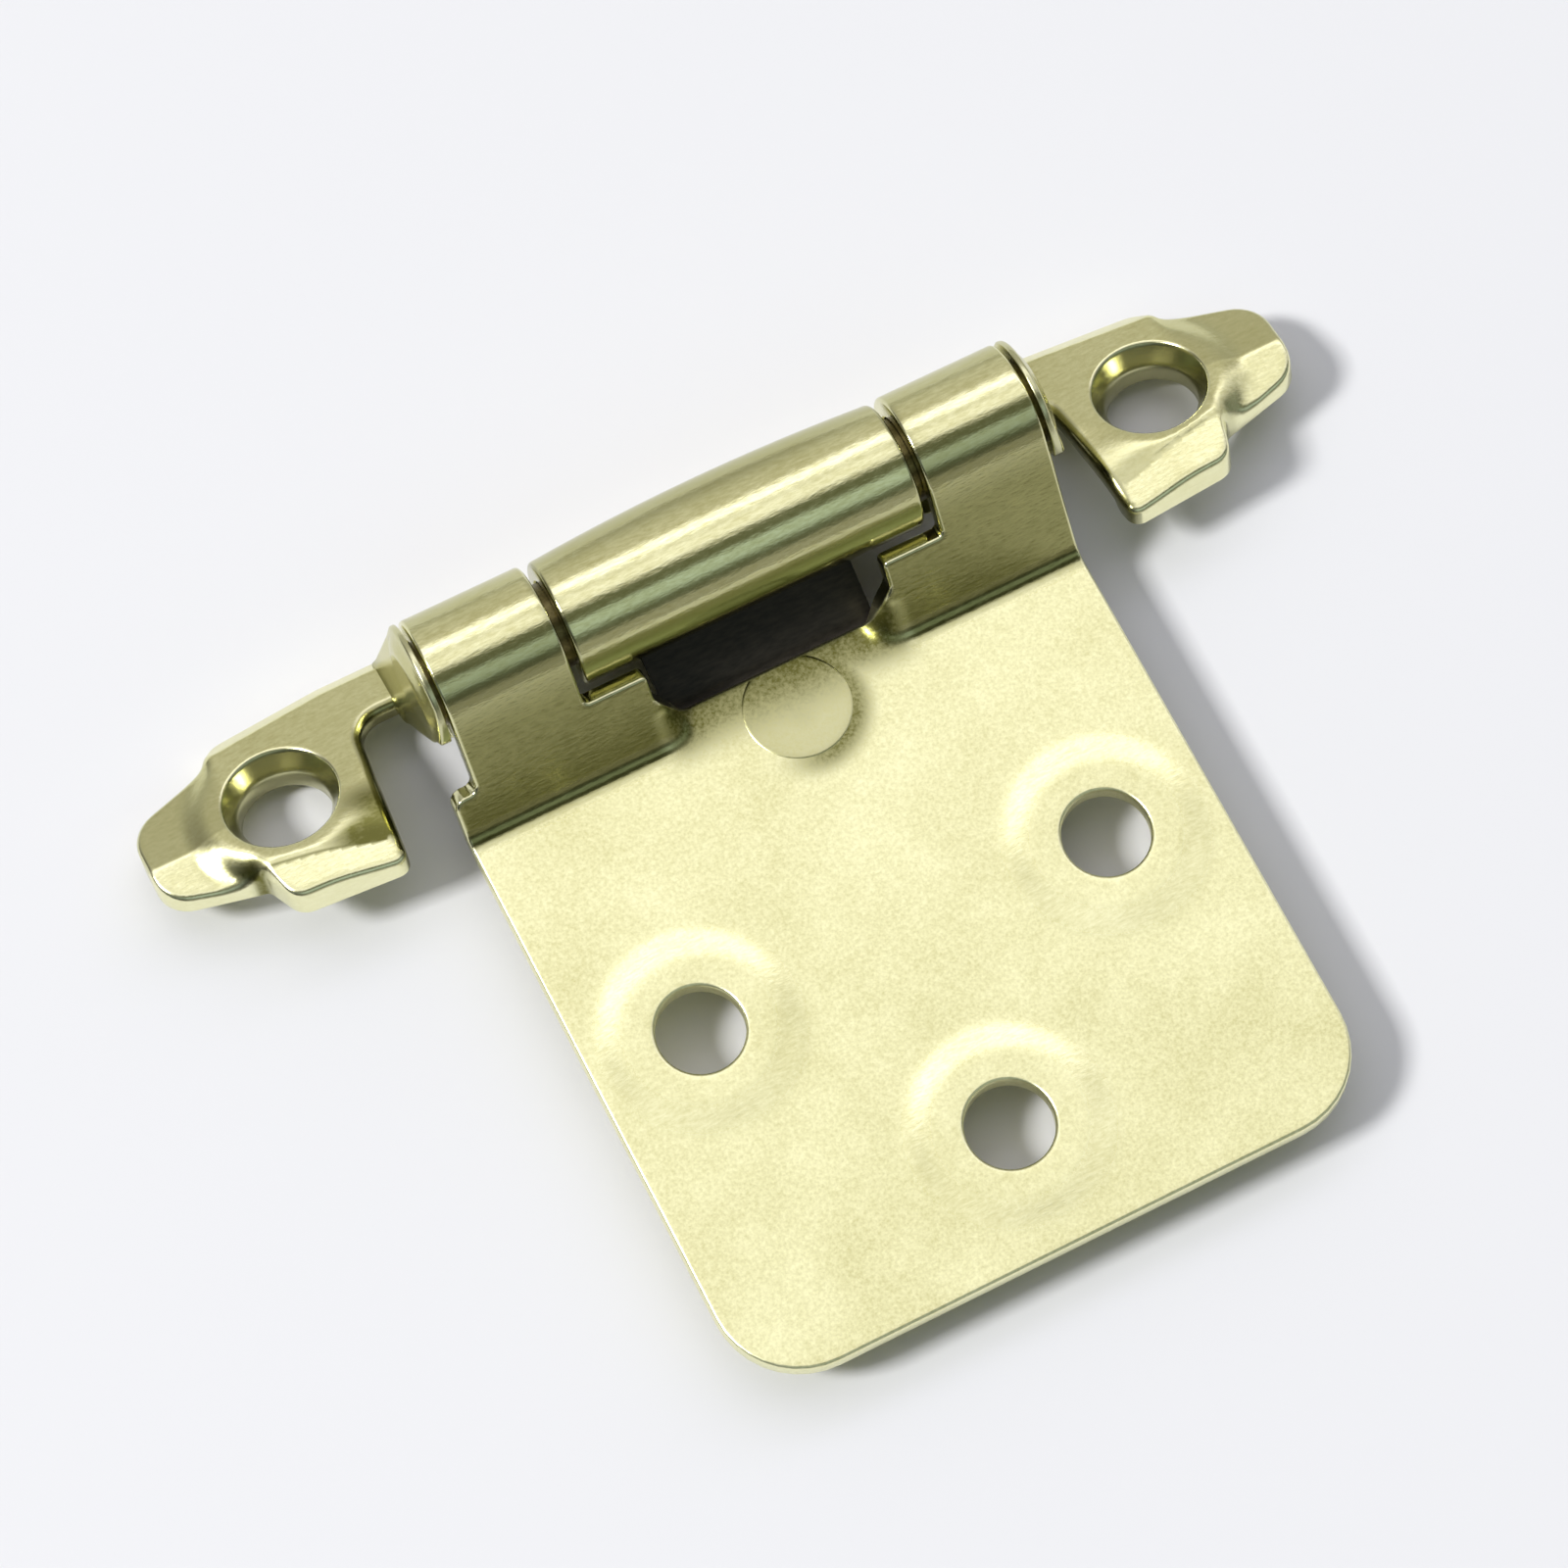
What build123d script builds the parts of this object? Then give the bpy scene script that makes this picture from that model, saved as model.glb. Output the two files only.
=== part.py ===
"""Self-closing face-mount cabinet hinge: a decorated frame wing, a door leaf and a closing spring.

The origin is the middle of the frame wing's two screw holes, on the wing's mounting face.
X runs along the pin, the door leaf reaches towards -Y and its plate lies level, and the frame wing
leans back by the angle that the spring over-closes the hinge when nothing holds it.
"""
import os
from math import acos, atan2, cos, degrees, hypot, radians, sin, sqrt, tan

from build123d import *

os.makedirs("parts", exist_ok=True)

# Sheet, pin and clearances
sheet = 1.2
pin_radius = 2.5
pin_seat = 0.7
pin_chamfer = 0.2
running_clearance = 0.05
sweep_clearance = 0.3
over_close_angle = 18.0

# Frame wing, in the wing's own plane
screw_spacing = 54.4
screw_hole_radius = 2.65
countersink_radius = 3.3
countersink_depth = 0.6
collar_wall = 1.1
wing_length = 71.0
wing_half_width = 7.0
wing_height = 2.6
wing_edge = 1.2
slot_back = 2.6
slot_radius = 1.6
pin_height = 7.0
pin_forward = 0.75
shoulder_x = 29.6
shoulder_radius = 1.6
shoulder_step = 4.2
tip_half_width = 2.6
tip_radius = 2.4
notch_radius = 0.4
lobe_end_x = 22.4
side_slant = 0.8
lobe_radius = 1.6
back_bend_radius = 1.0
lip_angle = 40.0
cheek_base = 6.6
cheek_back_angle = 40.0
cheek_front_angle = -75.0
core_margin = 2.4

# Knuckles along the pin
knuckle_length = 7.1
knuckle_gap = 0.85
barrel_length = 20.7
barrel_offset = 0.75
cheek_gap = 0.25

# Door leaf
plate_width = 38.1
plate_length = 35.3
plate_drop = 4.9
bend_reach = 7.7
bend_radius = 1.2
corner_radius = 5.0
curl_angle = 280.0
tab_width = 3.9
step_drop = 5.4
leaf_hole_radius = 2.5
leaf_hole_spacing = 25.0
leaf_row_reach = 15.45
leaf_third_step = 12.4
ring_top_radius = 4.3
ring_foot_radius = 5.4
ring_height = 0.3
tongue_length = 1.8
tongue_chamfer = 1.6

# Closing spring and its rivet
spring_thickness = 0.5
spring_width = 13.0
spring_front = 6.0
spring_rise_angle = 30.0
spring_hump_angle = 75.0
spring_hump_radius = 0.9
spring_foot_radius = 1.5
spring_tail = 1.8
rivet_reach = 1.0
rivet_head_radius = 3.15
rivet_head_depth = 0.6
rivet_shank_radius = 1.6
rivet_tail_radius = 2.4
rivet_tail_height = 0.4
rivet_tail_fillet = 0.2

# Sizes that follow from those above
knuckle_inner = pin_radius + running_clearance
knuckle_outer = knuckle_inner + sheet
wing_plane = Plane(
    origin=(0, 0, 0),
    x_dir=(1, 0, 0),
    z_dir=(0, sin(radians(over_close_angle)), cos(radians(over_close_angle))),
)
pin_centre = wing_plane.from_local_coords((0, -pin_forward, pin_height))
plate_top = pin_centre.Z - plate_drop
bend_y = pin_centre.Y - bend_reach
left_inner = barrel_offset - barrel_length / 2 - knuckle_gap
right_inner = barrel_offset + barrel_length / 2 + knuckle_gap
left_end = left_inner - knuckle_length
right_end = right_inner + knuckle_length
left_tab_end = left_inner + tab_width
right_tab_end = right_inner - tab_width
left_cheek = left_end - cheek_gap - sheet
right_cheek = right_end + cheek_gap
window_width = right_tab_end - left_tab_end

# The wall of the leaf is tangent to the knuckles and runs down to the bend
bend_distance = hypot(bend_reach, plate_drop)
bend_direction = degrees(atan2(-plate_drop, -bend_reach)) % 360
tangent_angle = bend_direction - degrees(acos(knuckle_outer / bend_distance))
wall_length = sqrt(bend_distance**2 - knuckle_outer**2)
tab_drop = sqrt((knuckle_outer + sweep_clearance) ** 2 - knuckle_inner**2)
bend_turn = tangent_angle - 90
bend_run = (bend_radius + sheet) * tan(radians(bend_turn / 2))


def across_leaf(x: float) -> Plane:
    """Plane across the pin at x, with the row's Y and Z as its axes and the pin at its origin."""
    return Plane(origin=(x, pin_centre.Y, pin_centre.Z), x_dir=(0, 1, 0), z_dir=(1, 0, 0))


def across_wing(x: float) -> Plane:
    """Plane across the pin at x, turned with the wing, with the pin at its origin."""
    place = wing_plane.from_local_coords((x, -pin_forward, pin_height))
    return Plane(origin=place, x_dir=wing_plane.y_dir, z_dir=(1, 0, 0))


def polar(radius: float, angle: float) -> tuple[float, float]:
    """Point at a radius and an angle in degrees about the pin."""
    return radius * cos(radians(angle)), radius * sin(radians(angle))


def wall_point(drop: float, depth: float) -> tuple[float, float]:
    """Point of the leaf's wall, a drop down from the knuckle and a depth in from its front face."""
    x, y = polar(knuckle_outer - depth, tangent_angle)
    along_x, along_y = polar(drop, tangent_angle + 90)
    return x + along_x, y + along_y


bend_corner = (-bend_reach, -plate_drop)
plate_start = (-bend_reach - bend_run, -plate_drop)
under_start = (plate_start[0], -plate_drop - sheet)
under_drop = (under_start[1] - wall_point(wall_length, sheet)[1]) / cos(radians(tangent_angle))
under_corner = wall_point(wall_length + under_drop, sheet)


def bent_sheet(top_drop: float, rolled: bool, x: float) -> Sketch:
    """Section of the bent leaf at x, up to a drop below the knuckle or rolled into the knuckle."""
    with BuildSketch(across_leaf(x)) as section:
        with BuildLine():
            front_top = wall_point(top_drop, 0)
            back_top = wall_point(top_drop, sheet)
            FilletPolyline(front_top, bend_corner, plate_start, radius=bend_radius)
            Line(plate_start, under_start)
            FilletPolyline(back_top, under_corner, under_start, radius=bend_radius + sheet)
            if rolled:
                curl_start = tangent_angle - curl_angle
                CenterArc((0, 0), knuckle_outer, curl_start, curl_angle)
                CenterArc((0, 0), knuckle_inner, curl_start, curl_angle)
                Line(polar(knuckle_inner, curl_start), polar(knuckle_outer, curl_start))
            else:
                Line(front_top, back_top)
        make_face()
    return section.sketch


# Door leaf: flat plate, bent walls with inner tabs, and two rolled knuckles
hole_row_y = bend_y - leaf_row_reach
leaf_holes = [
    (-leaf_hole_spacing / 2, hole_row_y),
    (leaf_hole_spacing / 2, hole_row_y),
    (0, hole_row_y - leaf_third_step),
]
rivet_place = (barrel_offset, bend_y - rivet_reach)
tongue_edge = bend_y + tongue_length
with BuildPart() as door_leaf:
    with BuildSketch(Plane.XY.offset(plate_top)) as plate_outline:
        with Locations((0, bend_y - plate_length)):
            Rectangle(plate_width, plate_length - bend_run, align=(Align.CENTER, Align.MIN))
        fillet(plate_outline.vertices().group_by(Axis.Y)[0], corner_radius)
        with Locations((barrel_offset, bend_y - bend_run)):
            Rectangle(window_width, bend_run + tongue_length, align=(Align.CENTER, Align.MIN))
        chamfer(plate_outline.vertices().group_by(Axis.Y)[-1], tongue_chamfer)
    extrude(amount=-sheet)
    extrude(bent_sheet(0, True, left_end), amount=knuckle_length)
    extrude(bent_sheet(0, True, right_inner), amount=knuckle_length)
    extrude(bent_sheet(tab_drop, False, left_end), amount=left_tab_end - left_end)
    extrude(bent_sheet(tab_drop, False, right_tab_end), amount=right_end - right_tab_end)
    extrude(bent_sheet(step_drop, False, -plate_width / 2), amount=left_end + plate_width / 2)
    with Locations(*[(x, y, plate_top) for x, y in leaf_holes]):
        Cone(ring_foot_radius, ring_top_radius, ring_height, align=(Align.CENTER, Align.CENTER, Align.MIN))
    with Locations(*[(x, y, plate_top - sheet) for x, y in leaf_holes]):
        Cone(
            ring_foot_radius - ring_height,
            ring_top_radius - ring_height,
            ring_height,
            align=(Align.CENTER, Align.CENTER, Align.MIN),
            mode=Mode.SUBTRACT,
        )
    with Locations(*[(x, y, plate_top) for x, y in leaf_holes]):
        Hole(leaf_hole_radius)
    with Locations((*rivet_place, plate_top)):
        CounterBoreHole(rivet_shank_radius, rivet_head_radius, rivet_head_depth)
door_leaf.part.label = "door_leaf"
export_step(door_leaf.part, "parts/door_leaf.step")

# Closing spring: a flat strip under the plate that rises through the window to a hump below the barrel
spring_level = -plate_drop - sheet - spring_thickness / 2
hump_centre_angle = 180 + spring_hump_angle
half_turn = spring_hump_angle - spring_rise_angle
hump_reach = knuckle_outer + sweep_clearance + spring_thickness / 2
apex = polar(hump_reach - spring_hump_radius * (1 / sin(radians(half_turn)) - 1), hump_centre_angle)
rise_run = (apex[1] - spring_level) / tan(radians(spring_rise_angle))
tail_x, tail_y = polar(spring_tail, hump_centre_angle + half_turn)
with BuildPart() as closing_spring:
    with BuildSketch(across_leaf(barrel_offset - spring_width / 2)) as spring_section:
        with BuildLine():
            FilletPolyline(
                (-bend_reach - spring_front, spring_level),
                (apex[0] - rise_run, spring_level),
                apex,
                (apex[0] + tail_x, apex[1] + tail_y),
                radius=[spring_foot_radius, spring_hump_radius],
            )
        trace(line_width=spring_thickness)
    extrude(amount=spring_width)
    with Locations((*rivet_place, plate_top - sheet)):
        Hole(rivet_shank_radius)
closing_spring.part.label = "closing_spring"
export_step(closing_spring.part, "parts/closing_spring.step")

# Spring rivet: a flush head in the plate, a shank through plate and spring, and a clinched tail
with BuildPart() as spring_rivet:
    with BuildSketch(Plane.XY.offset(plate_top)):
        with Locations(rivet_place):
            Circle(rivet_head_radius)
    extrude(amount=-rivet_head_depth)
    with BuildSketch(Plane.XY.offset(plate_top - rivet_head_depth)):
        with Locations(rivet_place):
            Circle(rivet_shank_radius)
    extrude(amount=-(sheet - rivet_head_depth + spring_thickness))
    with BuildSketch(Plane.XY.offset(plate_top - sheet - spring_thickness)):
        with Locations(rivet_place):
            Circle(rivet_tail_radius)
    extrude(amount=-rivet_tail_height)
    fillet(spring_rivet.edges().group_by(Axis.Z)[0], rivet_tail_fillet)
    split(bisect_by=Plane.XZ.offset(-tongue_edge), keep=Keep.TOP)
spring_rivet.part.label = "spring_rivet"
export_step(spring_rivet.part, "parts/spring_rivet.step")

# Hinge pin: a plain round pin seated at both ends in the cheeks of the wing
with BuildPart() as hinge_pin:
    pin_length = right_cheek - left_cheek - sheet + 2 * pin_seat
    with BuildSketch(across_wing(left_cheek + sheet - pin_seat)):
        Circle(pin_radius)
    extrude(amount=pin_length)
    chamfer(hinge_pin.edges().filter_by(GeomType.CIRCLE), pin_chamfer)
hinge_pin.part.label = "hinge_pin"
export_step(hinge_pin.part, "parts/hinge_pin.step")


def wing_outline() -> Sketch:
    """Plan of the frame wing: a straight back, a finial ear at each end and the slots for the leaf."""
    tip_x = wing_length / 2
    with BuildSketch() as plan:
        with BuildLine():
            FilletPolyline(
                (0, wing_half_width),
                (shoulder_x, wing_half_width),
                (shoulder_x + side_slant, shoulder_step),
                (tip_x, tip_half_width),
                (tip_x, -tip_half_width),
                (shoulder_x, -shoulder_step),
                (shoulder_x - side_slant, -wing_half_width),
                (lobe_end_x, -wing_half_width),
                (lobe_end_x - side_slant, slot_back),
                (0, slot_back),
                radius=[
                    shoulder_radius,
                    shoulder_radius,
                    tip_radius,
                    tip_radius,
                    notch_radius,
                    lobe_radius,
                    lobe_radius,
                    slot_radius,
                ],
            )
            mirror(about=Plane.YZ)
        make_face()
    return plan.sketch


def wing_core() -> Sketch:
    """Part of the wing's plan along the slots, where the sheet ends in a plain cut edge."""
    with BuildSketch() as core:
        add(wing_outline())
        core_width = 2 * (lobe_end_x + shoulder_radius)
        core_depth = 2 * (wing_half_width - core_margin)
        Rectangle(core_width, core_depth, mode=Mode.INTERSECT)
    return core.sketch


# Frame wing: stamped ears on a back strip, the middle barrel and two cheeks that hold the pin
roof_under = wing_height - sheet
pin_rise = pin_height - wing_height
strip_end = knuckle_outer + back_bend_radius + sheet
with BuildPart() as frame_wing:
    with BuildSketch(wing_plane):
        add(wing_outline())
    extrude(amount=wing_height)
    wing_rise = Axis((0, 0, 0), wing_plane.z_dir)
    roof = frame_wing.faces().sort_by(wing_rise)[-1]
    chamfer(roof.edges(), wing_height - wing_edge)
    with BuildSketch(wing_plane.offset(wing_edge)):
        add(wing_core())
    extrude(amount=wing_height - wing_edge)
    with BuildSketch(wing_plane):
        add(wing_outline())
        offset(amount=-sheet, mode=Mode.REPLACE)
        add(wing_core())
    extrude(amount=roof_under, mode=Mode.SUBTRACT)
    with BuildSketch(wing_plane):
        with GridLocations(screw_spacing, 0, 2, 1):
            Circle(screw_hole_radius + collar_wall)
    extrude(amount=roof_under)
    with Locations(wing_plane.offset(wing_height)):
        with GridLocations(screw_spacing, 0, 2, 1):
            Hole(screw_hole_radius)
    with Locations(wing_plane.offset(wing_height)):
        with GridLocations(screw_spacing, 0, 2, 1):
            Cone(
                screw_hole_radius,
                countersink_radius,
                countersink_depth,
                align=(Align.CENTER, Align.CENTER, Align.MAX),
                mode=Mode.SUBTRACT,
            )
    with BuildSketch(across_wing(barrel_offset - barrel_length / 2)):
        with BuildLine():
            lip_size = 180 + lip_angle
            CenterArc((0, 0), knuckle_outer, 0, lip_size)
            CenterArc((0, 0), knuckle_inner, 0, lip_size)
            Line(polar(knuckle_inner, lip_size), polar(knuckle_outer, lip_size))
            FilletPolyline(
                (knuckle_outer, 0),
                (knuckle_outer, -pin_rise),
                (strip_end, -pin_rise),
                radius=back_bend_radius,
            )
            FilletPolyline(
                (knuckle_inner, 0),
                (knuckle_inner, -pin_rise - sheet),
                (strip_end, -pin_rise - sheet),
                radius=back_bend_radius + sheet,
            )
            Line((strip_end, -pin_rise), (strip_end, -pin_rise - sheet))
        make_face()
    extrude(amount=barrel_length)
    for cheek_x in (left_cheek, right_cheek):
        with BuildSketch(across_wing(cheek_x)):
            Circle(knuckle_outer)
            with BuildLine():
                Polyline(
                    polar(knuckle_outer, cheek_back_angle),
                    (cheek_base, -pin_rise),
                    (cheek_base, -pin_rise - sheet),
                    (slot_back + pin_forward, -pin_rise - sheet),
                    (slot_back + pin_forward, -pin_rise),
                    polar(knuckle_outer, cheek_front_angle),
                    close=True,
                )
            make_face()
        extrude(amount=sheet)
    with BuildSketch(across_wing(left_cheek + sheet - pin_seat)):
        Circle(pin_radius)
    extrude(amount=pin_length, mode=Mode.SUBTRACT)
frame_wing.part.label = "frame_wing"
export_step(frame_wing.part, "parts/frame_wing.step")
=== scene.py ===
"""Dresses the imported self-closing cabinet hinge: formed sheet, plated finishes, studio and camera.

Lengths in the classes are millimetres in the row frame; meshes and objects are metres.
"""
import logging
from collections.abc import Callable, Sequence
from dataclasses import dataclass, field
from enum import Enum

import bmesh
import bpy
import numpy as np
from mathutils import Matrix, Vector
from mathutils.geometry import delaunay_2d_cdt


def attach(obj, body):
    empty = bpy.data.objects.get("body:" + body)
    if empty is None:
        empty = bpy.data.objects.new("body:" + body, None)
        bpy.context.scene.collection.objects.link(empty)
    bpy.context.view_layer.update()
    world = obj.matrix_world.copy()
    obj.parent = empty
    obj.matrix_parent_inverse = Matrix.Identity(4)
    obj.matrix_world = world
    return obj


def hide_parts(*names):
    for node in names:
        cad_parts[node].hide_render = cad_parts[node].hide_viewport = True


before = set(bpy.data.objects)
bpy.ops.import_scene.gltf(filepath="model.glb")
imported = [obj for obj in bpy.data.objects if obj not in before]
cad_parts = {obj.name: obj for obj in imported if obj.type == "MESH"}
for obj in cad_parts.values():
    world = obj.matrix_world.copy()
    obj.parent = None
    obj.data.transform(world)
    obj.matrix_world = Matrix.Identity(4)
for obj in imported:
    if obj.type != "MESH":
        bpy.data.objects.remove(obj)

LOG = logging.getLogger("cabinet_hinge")
MM = 0.001
TINY = 1e-6
MIDDLE = 0.5
HALF_TURN = 180.0
ARC_STEP = np.radians(11.0)
BLOCK = 2000
FILL_INSIDE = 1
JOIN_WITHIN = 1e-7

Array = np.ndarray
Pair = tuple[Array, Array]
Span = tuple[float, float]
Point = tuple[float, float, float]
Colour = tuple[float, float, float, float]
Surface = Callable[[Array], Pair]
Socket = bpy.types.NodeSocket
Tree = bpy.types.NodeTree


class Body(Enum):
    """Moving bodies of the hinge."""

    WING = "wing"
    LEAF = "leaf"


class Slot(Enum):
    """Material slot names of the record; no piece here is given one of them."""

    LEAF = "leaf_plating"
    WING = "wing_plating"
    RIVET = "rivet_plating"


class Layer(Enum):
    """Point attributes that the finishes read."""

    EDGE = "cut_edge"
    # Share of painted shade: darkening of the base colour that stands in for shade.
    SHADE = "shade"
    ROLLED = "rolled"


def ramp(value: Array, low: float, high: float) -> Array:
    """Smooth rise from 0 at low to 1 at high: three t squared less two t cubed."""
    share = np.clip((value - low) / (high - low), 0.0, 1.0)
    return share * share * (3.0 - 2.0 * share)


def fade(value: Array, low: float, high: float) -> Array:
    """Smooth fall from 1 at low to 0 at high: one less the ramp."""
    return 1.0 - ramp(value, low, high)


def rounded_loop(corners: Sequence[Point], step: float) -> Array:
    """Closed loop through corners: an arc of each corner's radius, and straight runs between arcs.

    Args:
        corners: Rows of two coordinates and a radius, with the metal on the left of the way round.
        step: Longest straight piece.

    Returns:
        The loop's points in order.
    """
    table = np.asarray(corners, float)
    points, radii = table[:, :2], table[:, 2]
    inward = points - np.roll(points, 1, axis=0)
    inward /= np.linalg.norm(inward, axis=1)[:, None]
    outward = np.roll(inward, -1, axis=0)
    cross = inward[:, 0] * outward[:, 1] - inward[:, 1] * outward[:, 0]
    turn = np.arctan2(cross, (inward * outward).sum(1))
    reach = radii * np.tan(np.abs(turn) / 2)
    starts = points - inward * reach[:, None]
    ends = points + outward * reach[:, None]
    pieces = []
    for here, radius in enumerate(radii):
        steps = max(2, int(np.ceil(abs(turn[here]) / ARC_STEP)) + 1)
        bend = turn[here] * np.linspace(0.0, 1.0, steps)
        cosine, sine = np.cos(bend), np.sin(bend)
        arm = np.array([inward[here, 1], -inward[here, 0]]) * np.sign(turn[here]) * radius
        arc = np.stack([arm[0] * cosine - arm[1] * sine, arm[0] * sine + arm[1] * cosine], 1)
        run = starts[(here + 1) % len(radii)] - ends[here]
        count = max(1, int(np.ceil(np.linalg.norm(run) / step)))
        share = np.linspace(0.0, 1.0, count + 1)[1:-1, None]
        pieces += [starts[here] - arm + arc, ends[here] + run * share]
    return np.concatenate(pieces)


def ring_loop(x: float, y: float, radius: float, count: int) -> Array:
    """Circle walked clockwise, so that the metal round a hole lies on its left."""
    angle = -2.0 * np.pi * np.arange(count) / count
    return np.stack([x + radius * np.cos(angle), y + radius * np.sin(angle)], 1)


def loop_normals(loop: Array) -> Array:
    """Unit vectors that point into the metal: the mean way of two pieces, turned left.

    Args:
        loop: Points of a closed loop.

    Returns:
        A vector for each point.
    """
    ahead = np.roll(loop, -1, axis=0) - loop
    ahead /= np.linalg.norm(ahead, axis=1)[:, None]
    mean = ahead + np.roll(ahead, 1, axis=0)
    mean /= np.linalg.norm(mean, axis=1)[:, None]
    return np.stack([-mean[:, 1], mean[:, 0]], 1)


def loop_distance(points: Array, starts: Array, ends: Array) -> Array:
    """Distance from each point to the nearest of many straight pieces.

    Args:
        points: Places in the plane.
        starts: First ends of the pieces.
        ends: Last ends of the pieces.

    Returns:
        The shortest distance for each point.
    """
    run = ends - starts
    square = (run**2).sum(1)
    found = []
    for block in np.array_split(points, 1 + len(points) // BLOCK):
        away = block[:, None, :] - starts[None]
        share = np.clip((away * run).sum(2) / square, 0.0, 1.0)
        found.append(np.sqrt(((away - share[..., None] * run) ** 2).sum(2).min(1)))
    return np.concatenate(found)


def inside_loop(points: Array, loop: Array) -> Array:
    """Whether a ray to the right from each point crosses a loop an odd number of times.

    Args:
        points: Places in the plane.
        loop: Points of a closed loop.

    Returns:
        True for each point that lies in the loop.
    """
    following = np.roll(loop, -1, axis=0)
    rise = following[:, 1] - loop[:, 1]
    rise = np.where(rise == 0.0, TINY**2, rise)
    found = []
    for block in np.array_split(points, 1 + len(points) // BLOCK):
        x, y = block[:, :1], block[:, 1:]
        between = (loop[:, 1] > y) != (following[:, 1] > y)
        cross = loop[:, 0] + (y - loop[:, 1]) / rise * (following[:, 0] - loop[:, 0])
        found.append((between & (x < cross)).sum(1) % 2 == 1)
    return np.concatenate(found)


def tube_quads(around: int, across: int) -> Array:
    """Corner numbers of the cells of a grid that closes on itself the way round.

    Args:
        around: Points the way round.
        across: Points the other way.

    Returns:
        Rows of four numbers.
    """
    here = np.arange(around)[:, None] * across + np.arange(across - 1)
    there = np.roll(here, -1, axis=0)
    return np.stack([here, here + 1, there + 1, there], 2).reshape(-1, 4)


@dataclass
class Shell:
    """Closed surface: points, faces, and each point's share of cut edge, shade and rolled metal."""

    points: Array
    triangles: Array
    quads: Array
    edge: Array
    # Share of painted shade at each point.
    shade: Array
    rolled: Array


@dataclass(frozen=True)
class EdgeProfile:
    """Profile across a cut edge, from the front face round to the back face.

    inset is the way in from the cut, lift the depth below the face that the point belongs to, and
    back says whether that face is the back one.
    """

    inset: Array
    lift: Array
    back: Array

    @classmethod
    def rounded(cls, front: float, rear: float, steps: int = 6) -> "EdgeProfile":
        """Quarter circle of radius front, a straight wall and a quarter circle of radius rear.

        Args:
            front: Radius at the front face.
            rear: Radius at the back face.
            steps: Points on each quarter.

        Returns:
            The profile.
        """
        angle = np.linspace(0.0, np.pi / 2, steps)
        inset = np.concatenate([front * (1 - np.sin(angle)), rear * (1 - np.cos(angle))])
        lift = np.concatenate([front * (1 - np.cos(angle)), rear * (1 - np.sin(angle))])
        return cls(inset, lift, np.repeat([False, True], steps))


@dataclass
class CutLoop:
    """One cut edge of a sheet: its line, its profile and the scale of the profile's front part."""

    line: Array
    profile: EdgeProfile
    scale: Array | float = 1.0

    def grow(self) -> Array:
        """Scale of the profile at each grid point, which is 1 for the back part."""
        scale = np.broadcast_to(self.scale, len(self.line))
        return np.where(self.profile.back, 1.0, scale[:, None])

    def grid(self) -> Array:
        """Plane places of the edge: the line's points moved into the metal by each inset."""
        inset = self.profile.inset * self.grow()
        return self.line[:, None, :] + inset[..., None] * loop_normals(self.line)[:, None, :]

    def lifts(self) -> Array:
        """Depth of each grid point below its face: the profile's lift times its scale."""
        return self.profile.lift * self.grow()


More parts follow.
